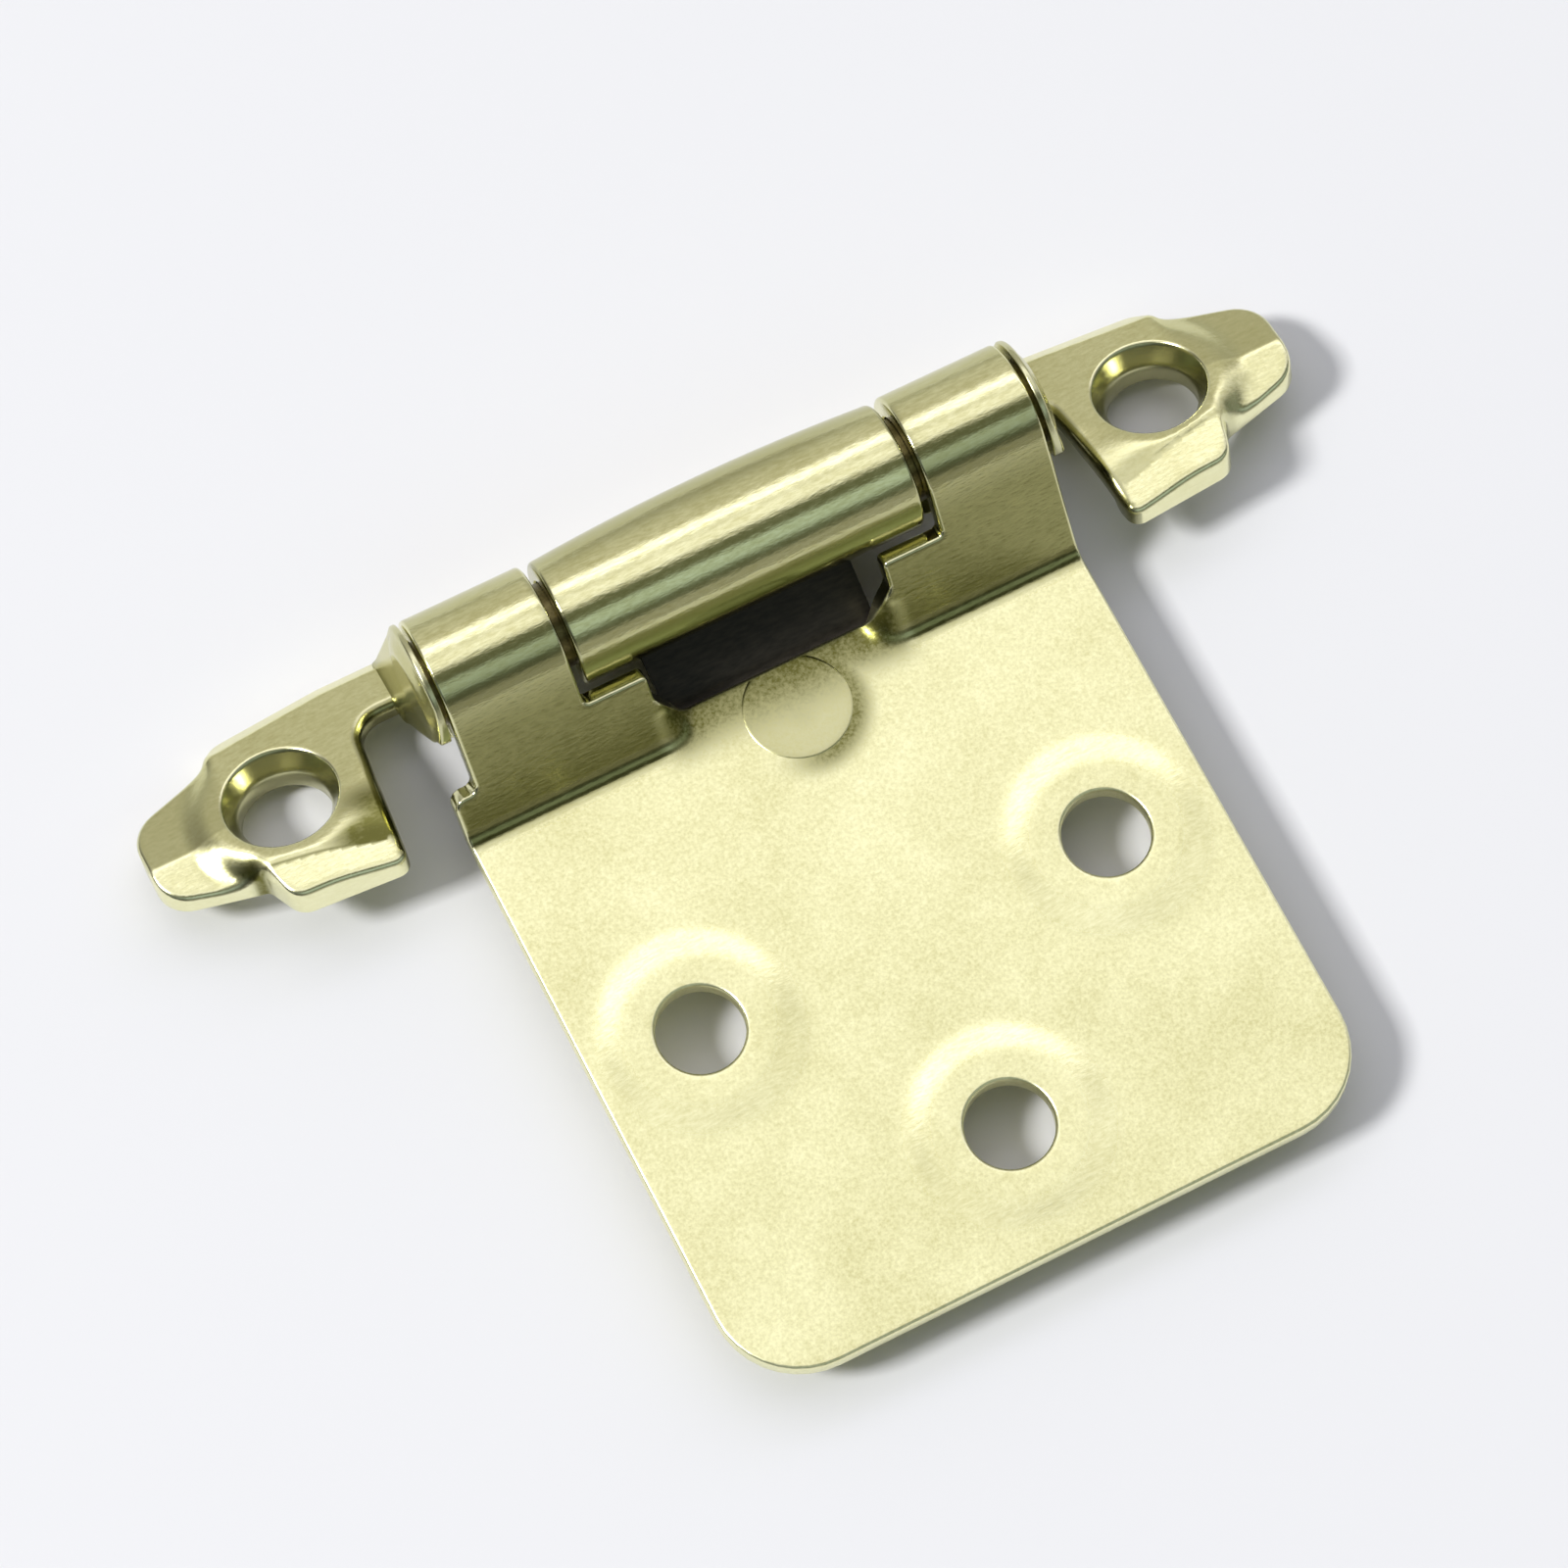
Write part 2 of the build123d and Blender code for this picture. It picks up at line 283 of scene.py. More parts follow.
@dataclass
class FormedSheet:
    """Sheet that is cut flat and then formed by a front and a back surface over the flat plane.

    The first loop is the outline and the others are holes. The faces are filled with a net of
    points, a spacing apart, joined by a Delaunay triangulation that keeps the lines of the folds,
    and each cut edge is a grid of its line and profile.
    """

    loops: list[CutLoop]
    spacing: float
    folds: list[Array] = field(default_factory=list)
    row_share: float = 0.866
    net_clear: float = 0.55
    fold_clear: float = 0.1
    edge_gain: float = 2.5

    def holds(self, points: Array, rims: list[Array]) -> Array:
        """Whether points lie inside the first rim and outside the others.

        Args:
            points: Flat places.
            rims: Front line of each loop.

        Returns:
            True for each point on the sheet.
        """
        kept = inside_loop(points, rims[0])
        for rim in rims[1:]:
            kept &= ~inside_loop(points, rim)
        return kept

    def net(self, rims: list[Array]) -> Pair:
        """Points inside the rims on a staggered net, and triangles over the rims and the net.

        Args:
            rims: Front line of each loop.

        Returns:
            The inner points, and rows of three numbers that count the rims' points first.
        """
        low, high = rims[0].min(0), rims[0].max(0)
        rows = np.arange(low[1], high[1], self.spacing * self.row_share)
        x, y = np.meshgrid(np.arange(low[0], high[0], self.spacing), rows)
        x = x + (np.arange(len(rows)) % 2)[:, None] * self.spacing / 2
        points = np.stack([x.ravel(), y.ravel()], 1)
        points = points[self.holds(points, rims)]
        starts = np.concatenate(rims)
        ends = np.concatenate([np.roll(rim, -1, axis=0) for rim in rims])
        lines = []
        for fold in self.folds:
            clear = loop_distance(fold, starts, ends) > self.fold_clear
            lines.append(fold[self.holds(fold, rims) & clear])
        fixed_starts = np.concatenate([starts] + [line[:-1] for line in lines])
        fixed_ends = np.concatenate([ends] + [line[1:] for line in lines])
        near = loop_distance(points, fixed_starts, fixed_ends)
        points = np.concatenate([points[near > self.net_clear * self.spacing]] + lines)
        places = np.concatenate([starts, points])
        edges, first = [], 0
        for rim in rims:
            number = first + np.arange(len(rim))
            edges.append(np.stack([number, np.roll(number, -1)], 1))
            first += len(rim)
        first = len(places)
        for line in reversed(lines):
            first -= len(line)
            number = first + np.arange(len(line))
            edges.append(np.stack([number[:-1], number[1:]], 1))
        _, _, faces, source, _, _ = delaunay_2d_cdt(
            places.tolist(), np.concatenate(edges).tolist(), [], FILL_INSIDE, JOIN_WITHIN
        )
        triangles = np.array(source)[:, 0][np.array(faces)]
        return points, triangles[self.holds(places[triangles].mean(1), rims)]

    def form(self, front: Surface, back: Surface, marks: Surface) -> Shell:
        """Carries the flat sheet onto its two surfaces.

        Args:
            front: Gives places and outward normals of the front face for flat places.
            back: Gives places of the back face and the same normals.
            marks: Gives painted shade and rolled metal for flat places.

        Returns:
            The closed shell of the sheet.
        """
        grids = [loop.grid() for loop in self.loops]
        inner, net = self.net([grid[:, 0] for grid in grids])
        points, flats, edge, triangles, quads, count = [], [], [], [], [], 0
        for side, face, order in ((0, front, net), (-1, back, net[:, ::-1])):
            flat = np.concatenate([grid[:, side] for grid in grids] + [inner])
            points.append(face(flat)[0])
            flats.append(flat)
            edge.append(np.zeros(len(flat)))
            triangles.append(order + count)
            count += len(flat)
        for loop, grid in zip(self.loops, grids):
            around, across = grid.shape[:2]
            flat, lift = grid.reshape(-1, 2), loop.lifts().reshape(-1, 1)
            above, normal = front(flat)
            below, _ = back(flat)
            is_back = np.tile(loop.profile.back, around)[:, None]
            points.append(np.where(is_back, below + normal * lift, above - normal * lift))
            flats.append(flat)
            arch = self.edge_gain * np.sin(np.linspace(0.0, np.pi, across))
            edge.append(np.tile(np.clip(arch, 0.0, 1.0), around))
            quads.append(tube_quads(around, across) + count)
            count += len(flat)
        parts = [np.concatenate(part) for part in (points, triangles, quads, edge)]
        return Shell(*parts, *marks(np.concatenate(flats)))


def add_object(name: str, data: bpy.types.ID) -> bpy.types.Object:
    """Puts an object into the scene, at the origin.

    Args:
        name: Name of the object.
        data: Its mesh, camera or light.

    Returns:
        The object.
    """
    made = bpy.data.objects.new(name, data)
    bpy.context.scene.collection.objects.link(made)
    return made


def make_piece(name: str, shells: Sequence[Shell], body: Body) -> bpy.types.Object:
    """Joins shells into one mesh object that rides on a body.

    Args:
        name: Name of the piece.
        shells: Closed surfaces in millimetres.
        body: Body that the piece moves with.

    Returns:
        The object.
    """
    first = np.cumsum([0] + [len(shell.points) for shell in shells])
    triangles = np.concatenate([shell.triangles + base for base, shell in zip(first, shells)])
    quads = np.concatenate([shell.quads + base for base, shell in zip(first, shells)])
    places = np.concatenate([shell.points for shell in shells]) * MM
    mesh = bpy.data.meshes.new(name)
    mesh.from_pydata(places.tolist(), [], triangles.tolist() + quads.tolist())
    for layer, part in ((Layer.EDGE, "edge"), (Layer.SHADE, "shade"), (Layer.ROLLED, "rolled")):
        values = np.concatenate([getattr(shell, part) for shell in shells])
        made = mesh.attributes.new(layer.value, "FLOAT", "POINT")
        made.data.foreach_set("value", values.astype(np.float32))
    solid = bmesh.new()
    solid.from_mesh(mesh)
    bmesh.ops.remove_doubles(solid, verts=solid.verts, dist=TINY)
    bmesh.ops.recalc_face_normals(solid, faces=solid.faces)
    solid.to_mesh(mesh)
    solid.free()
    mesh.polygons.foreach_set("use_smooth", np.ones(len(mesh.polygons), bool))
    piece = add_object(name, mesh)
    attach(piece, body.value)
    return piece


@dataclass
class NodeBench:
    """Node tree with short calls that add and join nodes."""

    tree: Tree

    def feed(self, value: object, target: Socket) -> None:
        """Links an output to an input, or sets the input to a number, vector or colour.

        Args:
            value: Output socket or plain value.
            target: Input socket.
        """
        if isinstance(value, Socket):
            self.tree.links.new(value, target)
        else:
            target.default_value = value

    def add(
        self, kind: str, inputs: dict[str, object] | None = None, **values: object
    ) -> bpy.types.Node:
        """Adds a node, sets its properties and feeds its inputs.

        Args:
            kind: Blender's name of the node type.
            inputs: Output sockets or plain values by input name.
            values: Properties by name.

        Returns:
            The node.
        """
        made = self.tree.nodes.new(kind)
        for name, value in values.items():
            setattr(made, name, value)
        for name, value in (inputs or {}).items():
            self.feed(value, made.inputs[name])
        return made

    def math(self, operation: str, first: object, second: object = 0.0) -> Socket:
        """Adds a math node whose inputs are sockets or numbers.

        Args:
            operation: Blender's name of the operation.
            first: First input.
            second: Second input.

        Returns:
            The node's output.
        """
        made = self.add("ShaderNodeMath", operation=operation)
        self.feed(first, made.inputs[0])
        self.feed(second, made.inputs[1])
        return made.outputs[0]

    def mix(self, kind: str, factor: object, first: object, second: object) -> Socket:
        """Adds a mix of two values.

        Args:
            kind: FLOAT or RGBA.
            factor: Share of the second value.
            first: First value.
            second: Second value.

        Returns:
            The mixed value.
        """
        inputs = {"Factor": factor, "A": first, "B": second}
        return self.add("ShaderNodeMix", inputs, data_type=kind).outputs["Result"]

    def noise(self, vector: object, scale: object, detail: float, rough: float) -> Socket:
        """Adds a noise texture.

        Args:
            vector: Coordinates.
            scale: Number or socket.
            detail: Octaves.
            rough: Share of the finer octaves.

        Returns:
            The noise value.
        """
        inputs = {"Vector": vector, "Scale": scale, "Detail": detail, "Roughness": rough}
        return self.add("ShaderNodeTexNoise", inputs).outputs["Fac"]

    def spread(self, value: object, low: float, high: float) -> Socket:
        """Maps a value from 0 to 1 onto a range from low to high."""
        inputs = {"Value": value, "To Min": low, "To Max": high}
        return self.add("ShaderNodeMapRange", inputs).outputs["Result"]


def start_material(
    name: str,
) -> tuple[bpy.types.Material, NodeBench, bpy.types.bpy_prop_collection]:
    """Starts a node material.

    Args:
        name: Name of the material.

    Returns:
        The material, a bench for its nodes and the inputs of its Principled shader.
    """
    made = bpy.data.materials.new(name)
    made.use_nodes = True
    return made, NodeBench(made.node_tree), made.node_tree.nodes["Principled BSDF"].inputs


@dataclass(frozen=True)
class PlatingGrain:
    """Grain of plated sheet, rolling streaks along the pin and soft cloudy patches."""

    grain: float = 5200.0
    stretch: Point = (0.3, 1.0, 1.0)
    fine: Span = (3.0, 0.6)
    streak: Span = (2.0, 0.6)
    cloud: Point = (210.0, 4.0, 0.55)
    contrast: float = 1.8

    def group(self) -> Tree:
        """Makes the node group: fine noise mixed with noise drawn out along X, plus wide clouds.

        Returns:
            The group, with the inputs Grain and Streaks and the outputs Shade, Polish and Height.
        """
        group = bpy.data.node_groups.new("plating_grain", "ShaderNodeTree")
        for name, value in (("Grain", self.grain), ("Streaks", 0.0)):
            socket = group.interface.new_socket(name, in_out="INPUT", socket_type="NodeSocketFloat")
            socket.default_value = value
        for name in ("Shade", "Polish", "Height"):
            group.interface.new_socket(name, in_out="OUTPUT", socket_type="NodeSocketFloat")
        bench = NodeBench(group)
        given, result = bench.add("NodeGroupInput"), bench.add("NodeGroupOutput")
        place = bench.add("ShaderNodeTexCoord").outputs["Object"]
        drawn = bench.add("ShaderNodeMapping", {"Vector": place, "Scale": self.stretch}).outputs[0]
        fine = bench.noise(place, given.outputs["Grain"], *self.fine)
        streak = bench.noise(drawn, given.outputs["Grain"], *self.streak)
        cloud = bench.noise(place, *self.cloud)
        texture = bench.mix("FLOAT", given.outputs["Streaks"], fine, streak)
        close = bench.math("MULTIPLY", bench.math("SUBTRACT", texture, MIDDLE), self.contrast)
        halves = [bench.math("MULTIPLY", part, MIDDLE) for part in (cloud, texture)]
        bench.feed(bench.math("ADD", cloud, close), result.inputs["Shade"])
        bench.feed(bench.math("ADD", *halves), result.inputs["Polish"])
        bench.feed(texture, result.inputs["Height"])
        return group


@dataclass(frozen=True)
class PlatedFinish:
    """Pale brass plating over steel sheet, with painted shade from the shade attribute."""

    name: str
    light: Colour = (0.985, 0.965, 0.56, 1.0)
    dark: Colour = (0.72, 0.69, 0.33, 1.0)
    # Colour of the painted shade.
    shaded: Colour = (0.16, 0.155, 0.04, 1.0)
    edge: Colour = (0.92, 0.91, 0.62, 1.0)
    smooth: float = 0.24
    rough: float = 0.36
    rolled: float = 0.15
    # How far the grain mottles the painted shade, less on rolled metal.
    speckle: float = 0.55
    speckle_loss: float = 0.3
    grain: float = 5200.0
    relief: float = 0.4
    relief_depth: float = 0.00002

    def material(self, grain_group: Tree) -> bpy.types.Material:
        """Makes the plated material.

        Args:
            grain_group: The shared grain group.

        Returns:
            The material.
        """
        made, bench, surface = start_material(self.name)
        surface["Metallic"].default_value = 1.0
        edge, shade, rolled = (
            bench.add("ShaderNodeAttribute", attribute_name=layer.value).outputs["Fac"]
            for layer in (Layer.EDGE, Layer.SHADE, Layer.ROLLED)
        )
        inputs = {"Grain": self.grain, "Streaks": rolled}
        grain = bench.add("ShaderNodeGroup", inputs, node_tree=grain_group)
        polish = grain.outputs["Polish"]
        tone = bench.mix("RGBA", grain.outputs["Shade"], self.dark, self.light)
        trimmed = bench.mix("RGBA", bench.math("MULTIPLY", edge, polish), tone, self.edge)
        # Painted shade: the shade attribute, mottled by the grain, mixes the base colour towards
        # shaded.
        loss = bench.math("MULTIPLY", rolled, self.speckle_loss)
        reach = bench.math("SUBTRACT", self.speckle, loss)
        uneven = bench.math("SUBTRACT", grain.outputs["Shade"], MIDDLE)
        speckle = bench.math("ADD", bench.math("MULTIPLY", uneven, reach), 1.0)
        mottled = bench.math("MULTIPLY", shade, speckle)
        bench.feed(bench.mix("RGBA", mottled, trimmed, self.shaded), surface["Base Color"])
        matt = bench.spread(polish, self.smooth, self.rough)
        bench.feed(bench.mix("FLOAT", rolled, matt, self.rolled), surface["Roughness"])
        inputs = {"Strength": self.relief, "Distance": self.relief_depth}
        inputs["Height"] = grain.outputs["Height"]
        bump = bench.add("ShaderNodeBump", inputs)
        bench.feed(bump.outputs["Normal"], surface["Normal"])
        return made


@dataclass(frozen=True)
class PinPaintedShadeFinish(PlatedFinish):
    """Pin's plating with painted shade: darker, as the pin lies in the shade of its knuckles."""

    name: str = "pin_plating"
    light: Colour = (0.20, 0.17, 0.07, 1.0)
    dark: Colour = (0.10, 0.08, 0.03, 1.0)


@dataclass(frozen=True)
class SpringFinish:
    """Dark blued spring steel with rolling streaks."""

    name: str = "blued_spring"
    light: Colour = (0.045, 0.038, 0.028, 1.0)
    dark: Colour = (0.014, 0.012, 0.009, 1.0)
    metal: float = 0.6
    smooth: float = 0.35
    rough: float = 0.6
    grain: float = 3800.0

    def material(self, grain_group: Tree) -> bpy.types.Material:
        """Makes the spring's material.

        Args:
            grain_group: The shared grain group.

        Returns:
            The material.
        """
        made, bench, surface = start_material(self.name)
        surface["Metallic"].default_value = self.metal
        inputs = {"Grain": self.grain, "Streaks": 1.0}
        grain = bench.add("ShaderNodeGroup", inputs, node_tree=grain_group)
        tone = bench.mix("RGBA", grain.outputs["Shade"], self.dark, self.light)
        matt = bench.spread(grain.outputs["Polish"], self.smooth, self.rough)
        bench.feed(tone, surface["Base Color"])
        bench.feed(matt, surface["Roughness"])
        return made


@dataclass
class SubAssembly:
    """Piece of the hinge with a finish of its own."""

    finish: PlatedFinish | SpringFinish

    def build(self) -> bpy.types.Object:
        """Makes or fetches the piece's object."""
        raise NotImplementedError

    def dress(self, piece: bpy.types.Object, grain_group: Tree) -> None:
        """Gives every material slot of a piece the finish.

        Args:
            piece: The built object.
            grain_group: The shared grain group.
        """
        material = self.finish.material(grain_group)
        if not piece.data.materials:
            piece.data.materials.append(material)
        for slot in piece.material_slots:
            slot.material = material


@dataclass
class CarriedNode(SubAssembly):
    """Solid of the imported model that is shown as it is."""

    node: str

    def build(self) -> bpy.types.Object:
        """Fetches the node's object."""
        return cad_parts[self.node]


@dataclass(frozen=True)
class PinLine:
    """Place of the pin's axis: the wing's lean in degrees, and the pin's place over the wing."""

    lean: float = 18.0
    forward: float = 0.75
    height: float = 7.0

    def to_row(self, x: Array, v: Array, w: Array) -> Array:
        """Turns wing coordinates by the lean into the row frame.

        Args:
            x: Way along the pin.
            v: Way back across the wing.
            w: Way out of the wing.

        Returns:
            Rows of X, Y and Z.
        """
        cosine, sine = np.cos(np.radians(self.lean)), np.sin(np.radians(self.lean))
        return np.column_stack([x, v * cosine + w * sine, w * cosine - v * sine])

    def centre(self) -> Array:
        """Place of the axis along Y and Z."""
        return self.to_row(np.zeros(1), np.array([-self.forward]), np.array([self.height]))[0, 1:]


@dataclass(frozen=True)
class LeafShade:
    """Painted shade on the leaf: strengths, and the spans over which the painted shade changes."""

    wall: float = 0.84
    wall_lift: float = 0.34
    wall_lift_span: Span = (-2.5, 1.5)
    wall_foot: Span = (-0.1, 0.4)
    wall_end: Span = (0.8, 3.2)
    wall_side: Span = (-0.8, 0.6)
    corner: float = 0.95
    corner_lift: float = 0.12
    corner_lift_span: Span = (0.5, 4.0)
    corner_reach: Span = (1.0, 4.1)
    corner_side: Span = (-1.4, 0.8)
    corner_top: Span = (2.6, 3.2)
    halo: float = 0.85
    halo_span: Span = (0.1, 1.7)
    halo_way: Span = (0.86, -0.5)
    halo_turn: Span = (-0.5, 0.7)
    halo_core: float = 0.1
    behind: float = 0.42
    behind_span: Span = (5.45, 6.1)
    gap: float = 0.8
    gap_span: Span = (0.1, 0.3)
    gap_start: Span = (-3.5, -2.5)
    streak_start: Span = (-0.6, 0.4)
    streak_side: Span = (-0.5, 0.5)
    ring_polish: float = 0.8
    edge_loss: float = 0.7
    window_top: float = 3.0


@dataclass
class DoorLeaf(SubAssembly):
    """Door leaf: a plate with three ringed holes, two slanted walls with tabs, two knuckles."""

    pin: PinLine
    sheet: float = 1.2
    roll: float = 3.749
    curl: float = 280.0
    drop: float = 4.9
    reach: float = 7.7
    bend: float = 1.2
    half_width: float = 19.05
    length: float = 35.3
    corner: float = 5.0
    left: Point = (-17.55, -10.3, -6.55)
    right: Point = (8.05, 11.8, 19.05)
    knuckle_corner: float = 0.4
    step_drop: float = 5.4
    step_corners: Span = (0.5, 0.75)
    tab_drop: float = 3.146
    tab_corner: float = 0.35
    tongue: float = 1.8
    tongue_top: float = 3.0
    tongue_blend: float = 2.4
    web: float = 1.5
    web_corners: Span = (0.6, 0.9)
    hole_radius: float = 2.5
    hole_points: int = 72
    holes: tuple[Span, ...] = ((-12.5, -15.45), (12.5, -15.45), (0.0, -27.85))
    ring_foot: float = 6.2
    ring_top: float = 4.0
    ring_height: float = 0.23
    rivet: Point = (0.75, -1.0, 3.15)
    edge: Span = (0.22, 0.15)
    step: float = 0.4
    spacing: float = 0.3
    shade: LeafShade = LeafShade()

    @property
    def turn(self) -> float:
        """Angle by which the sheet bends up from the plate, in radians."""
        far = np.hypot(self.reach, self.drop)
        return np.arctan2(self.drop, self.reach) + np.pi / 2 - np.arccos(self.roll / far)

    @property
    def bend_run(self) -> float:
        """Way from the start of the bend to the corner that it rounds."""
        return self.bend * np.tan(self.turn / 2)

    @property
    def wall_foot(self) -> float:
        """Flat place where the bend ends and the wall starts."""
        return self.bend * self.turn

    @property
    def wall_top(self) -> float:
        """Flat place where the wall ends and the knuckle starts."""
        long = np.sqrt(self.reach**2 + self.drop**2 - self.roll**2)
        return self.wall_foot + long - self.bend_run

    @property
    def flat_start(self) -> float:
        """Place along Y from the pin where the bend starts."""
        return -self.reach - self.bend_run

    def inside(self, x: Array) -> Array:
        """Way into the window from the nearer of the two tabs."""
        return np.minimum(x - self.left[2], self.right[0] - x)

    def outline(self) -> list[Point]:
        """Corners of the flat blank.

        Returns:
            Rows of the place across the plate, the place along the sheet from the start of the
            bend, and the corner's radius.
        """
        near = -(self.length - self.bend_run)
        curl_end = self.wall_top + self.roll * np.radians(self.curl)
        tab = self.wall_top - self.tab_drop
        step = self.wall_top - self.step_drop
        rim = self.tongue + self.bend_run
        outer, inner, tab_left = self.left
        tab_right, inner_right, outer_right = self.right
        web_top, web_foot = self.web_corners
        step_in, step_out = self.step_corners
        return [
            (-self.half_width, near, self.corner),
            (self.half_width, near, self.corner),
            (outer_right, curl_end, self.knuckle_corner),
            (inner_right, curl_end, self.knuckle_corner),
            (inner_right, tab, self.tab_corner),
            (tab_right, tab, self.tab_corner),
            (tab_right, rim + self.web, web_top),
            (tab_right - self.web, rim, web_foot),
            (tab_left + self.web, rim, web_foot),
            (tab_left, rim + self.web, web_top),
            (tab_left, tab, self.tab_corner),
            (inner, tab, self.tab_corner),
            (inner, curl_end, self.knuckle_corner),
            (outer, curl_end, self.knuckle_corner),
            (outer, step, step_in),
            (-self.half_width, step, step_out),
        ]

    def section(self, along: Array) -> Pair:
        """Bent line of the front face: level, an arc up, a wall, and an arc back round the pin.

        Args:
            along: Flat places along the sheet.

        Returns:
            Places and normals in the plane across the pin, from the pin's axis.
        """
        turn, foot, top = self.turn, self.wall_foot, self.wall_top
        rise = np.clip(along, 0.0, foot) / self.bend
        bend_y = self.flat_start + np.minimum(along, 0.0) + self.bend * np.sin(rise)
        bend_z = -self.drop + self.bend * (1.0 - np.cos(rise))
        up = np.clip(along - foot, 0.0, top - foot)
        wall = np.stack([bend_y + up * np.cos(turn), bend_z + up * np.sin(turn)], 1)
        round_angle = turn + np.pi / 2 - np.maximum(along - top, 0.0) / self.roll
        knuckle = self.roll * np.stack([np.cos(round_angle), np.sin(round_angle)], 1)
        rolled = (along > top)[:, None]
        place = np.where(rolled, knuckle, wall)
        normal = np.where(rolled, knuckle / self.roll, np.stack([-np.sin(rise), np.cos(rise)], 1))
        return place, normal

    def emboss(self, flat: Array) -> Array:
        """Height of the raised rings: a smooth fall from the ring's top radius to its foot.

        Args:
            flat: Flat places.

        Returns:
            The height over the plate.
        """
        height = np.zeros(len(flat))
        for x, along in self.holes:
            away = np.hypot(flat[:, 0] - x, flat[:, 1] - along - self.bend_run)
            height += self.ring_height * fade(away, self.ring_top, self.ring_foot)
        return height

    def front(self, flat: Array) -> Pair:
        """Front face: the bent line carried along X, laid level inside the window, plus the rings.

        Args:
            flat: Flat places.

        Returns:
            Places and normals.
        """
        x, along = flat[:, 0], flat[:, 1]
        place, normal = self.section(along)
        level = np.stack([self.flat_start + along, np.full(len(flat), -self.drop)], 1)
        low = along < self.wall_foot + self.tongue_top
        tongue = (low * ramp(self.inside(x), 0.0, self.tongue_blend))[:, None]
        place = place * (1.0 - tongue) + level * tongue
        normal = normal * (1.0 - tongue) + np.array([0.0, 1.0]) * tongue
        normal /= np.linalg.norm(normal, axis=1)[:, None]
        place = place + normal * self.emboss(flat)[:, None] + self.pin.centre()
        return np.column_stack([x, place]), np.column_stack([np.zeros(len(flat)), normal])

    def back(self, flat: Array) -> Pair:
        """Back face: the front face moved by the sheet's thickness."""
        points, normal = self.front(flat)
        return points - normal * self.sheet, normal

    def marks(self, flat: Array) -> Pair:
        """Painted shade of walls, lower knuckles, window corners, rivet rim and gaps; rolled metal.

        Args:
            flat: Flat places.

        Returns:
            Painted shade, as the largest of its causes, and the share of rolled metal.
        """
        shade, x, along = self.shade, flat[:, 0], flat[:, 1]
        up, inside, low = along - self.wall_top, self.inside(x), along < shade.window_top
        wall = shade.wall - shade.wall_lift * ramp(up, *shade.wall_lift_span)
        wall *= ramp(along, *shade.wall_foot) * fade(up, *shade.wall_end)
        wall *= 1.0 - ramp(inside, *shade.wall_side) * low
        corner = shade.corner - shade.corner_lift * ramp(inside, *shade.corner_lift_span)
        corner *= fade(self.tongue + self.bend_run - along, *shade.corner_reach)
        corner *= ramp(inside, *shade.corner_side) * fade(along, *shade.corner_top)
        aside, ahead = x - self.rivet[0], along - self.rivet[1] - self.bend_run
        away = np.hypot(aside, ahead)
        way_x, way_y = shade.halo_way
        facing = (way_x * aside + way_y * ahead) / np.maximum(away, shade.halo_core)
        halo = shade.halo * fade(np.abs(away - self.rivet[2]), *shade.halo_span)
        halo *= ramp(facing, *shade.halo_turn)
        behind = shade.behind * ramp(up, *shade.behind_span)
        ends = np.minimum(np.abs(x - self.left[1]), np.abs(x - self.right[1]))
        gap = shade.gap * fade(ends, *shade.gap_span) * ramp(up, *shade.gap_start)
        streaky = ramp(along, *shade.streak_start) * (1.0 - ramp(inside, *shade.streak_side) * low)
        raised = self.emboss(flat) / self.ring_height
        burnish = shade.ring_polish * 4.0 * raised * (1.0 - raised)
        return np.maximum.reduce([wall, corner, halo, behind, gap]), np.maximum(streaky, burnish)

    def build(self) -> bpy.types.Object:
        """Builds the leaf as one formed sheet.

        Returns:
            The leaf's object.
        """
        cut = EdgeProfile.rounded(*self.edge)
        loops = [CutLoop(rounded_loop(self.outline(), self.step), cut)]
        for x, along in self.holes:
            ring = ring_loop(x, along + self.bend_run, self.hole_radius, self.hole_points)
            loops.append(CutLoop(ring, cut))
        shell = FormedSheet(loops, self.spacing).form(self.front, self.back, self.marks)
        # Cut edges keep less of the painted shade.
        shell.shade *= 1.0 - self.shade.edge_loss * shell.edge
        piece = make_piece("door_leaf_sheet", [shell], Body.LEAF)
        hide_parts("door_leaf")
        return piece


@dataclass(frozen=True)
class EarShade:
    """Painted shade on the ears: strengths, and the spans over which the painted shade changes."""

    front: Span = (0.97, 0.3)
    hollow_share: Span = (0.12, 0.55)
    hollow_start: Span = (0.2, 1.4)
    hollow_loss: float = 0.9
    hollow_span: Span = (24.4, 27.0)
    beside_span: Span = (22.9, 25.6)
    beside_start: Span = (0.9, 2.6)
    groove: float = 0.8
    groove_span: Span = (0.02, 0.12)
    crease_clear: float = 0.01
    flank_start: Span = (0.1, 0.5)
    flank_end: Span = (1.1, 1.4)
    flank_span: Span = (2.2, 3.2)
    face: float = 0.08
    tip_face: float = 0.2
    tip_x: float = 29.9
    funnel: float = 0.55
    funnel_span: Span = (3.25, 3.5)
    rim: float = 0.8
    rim_span: Span = (0.3, 0.62)
    rolled: float = 0.6


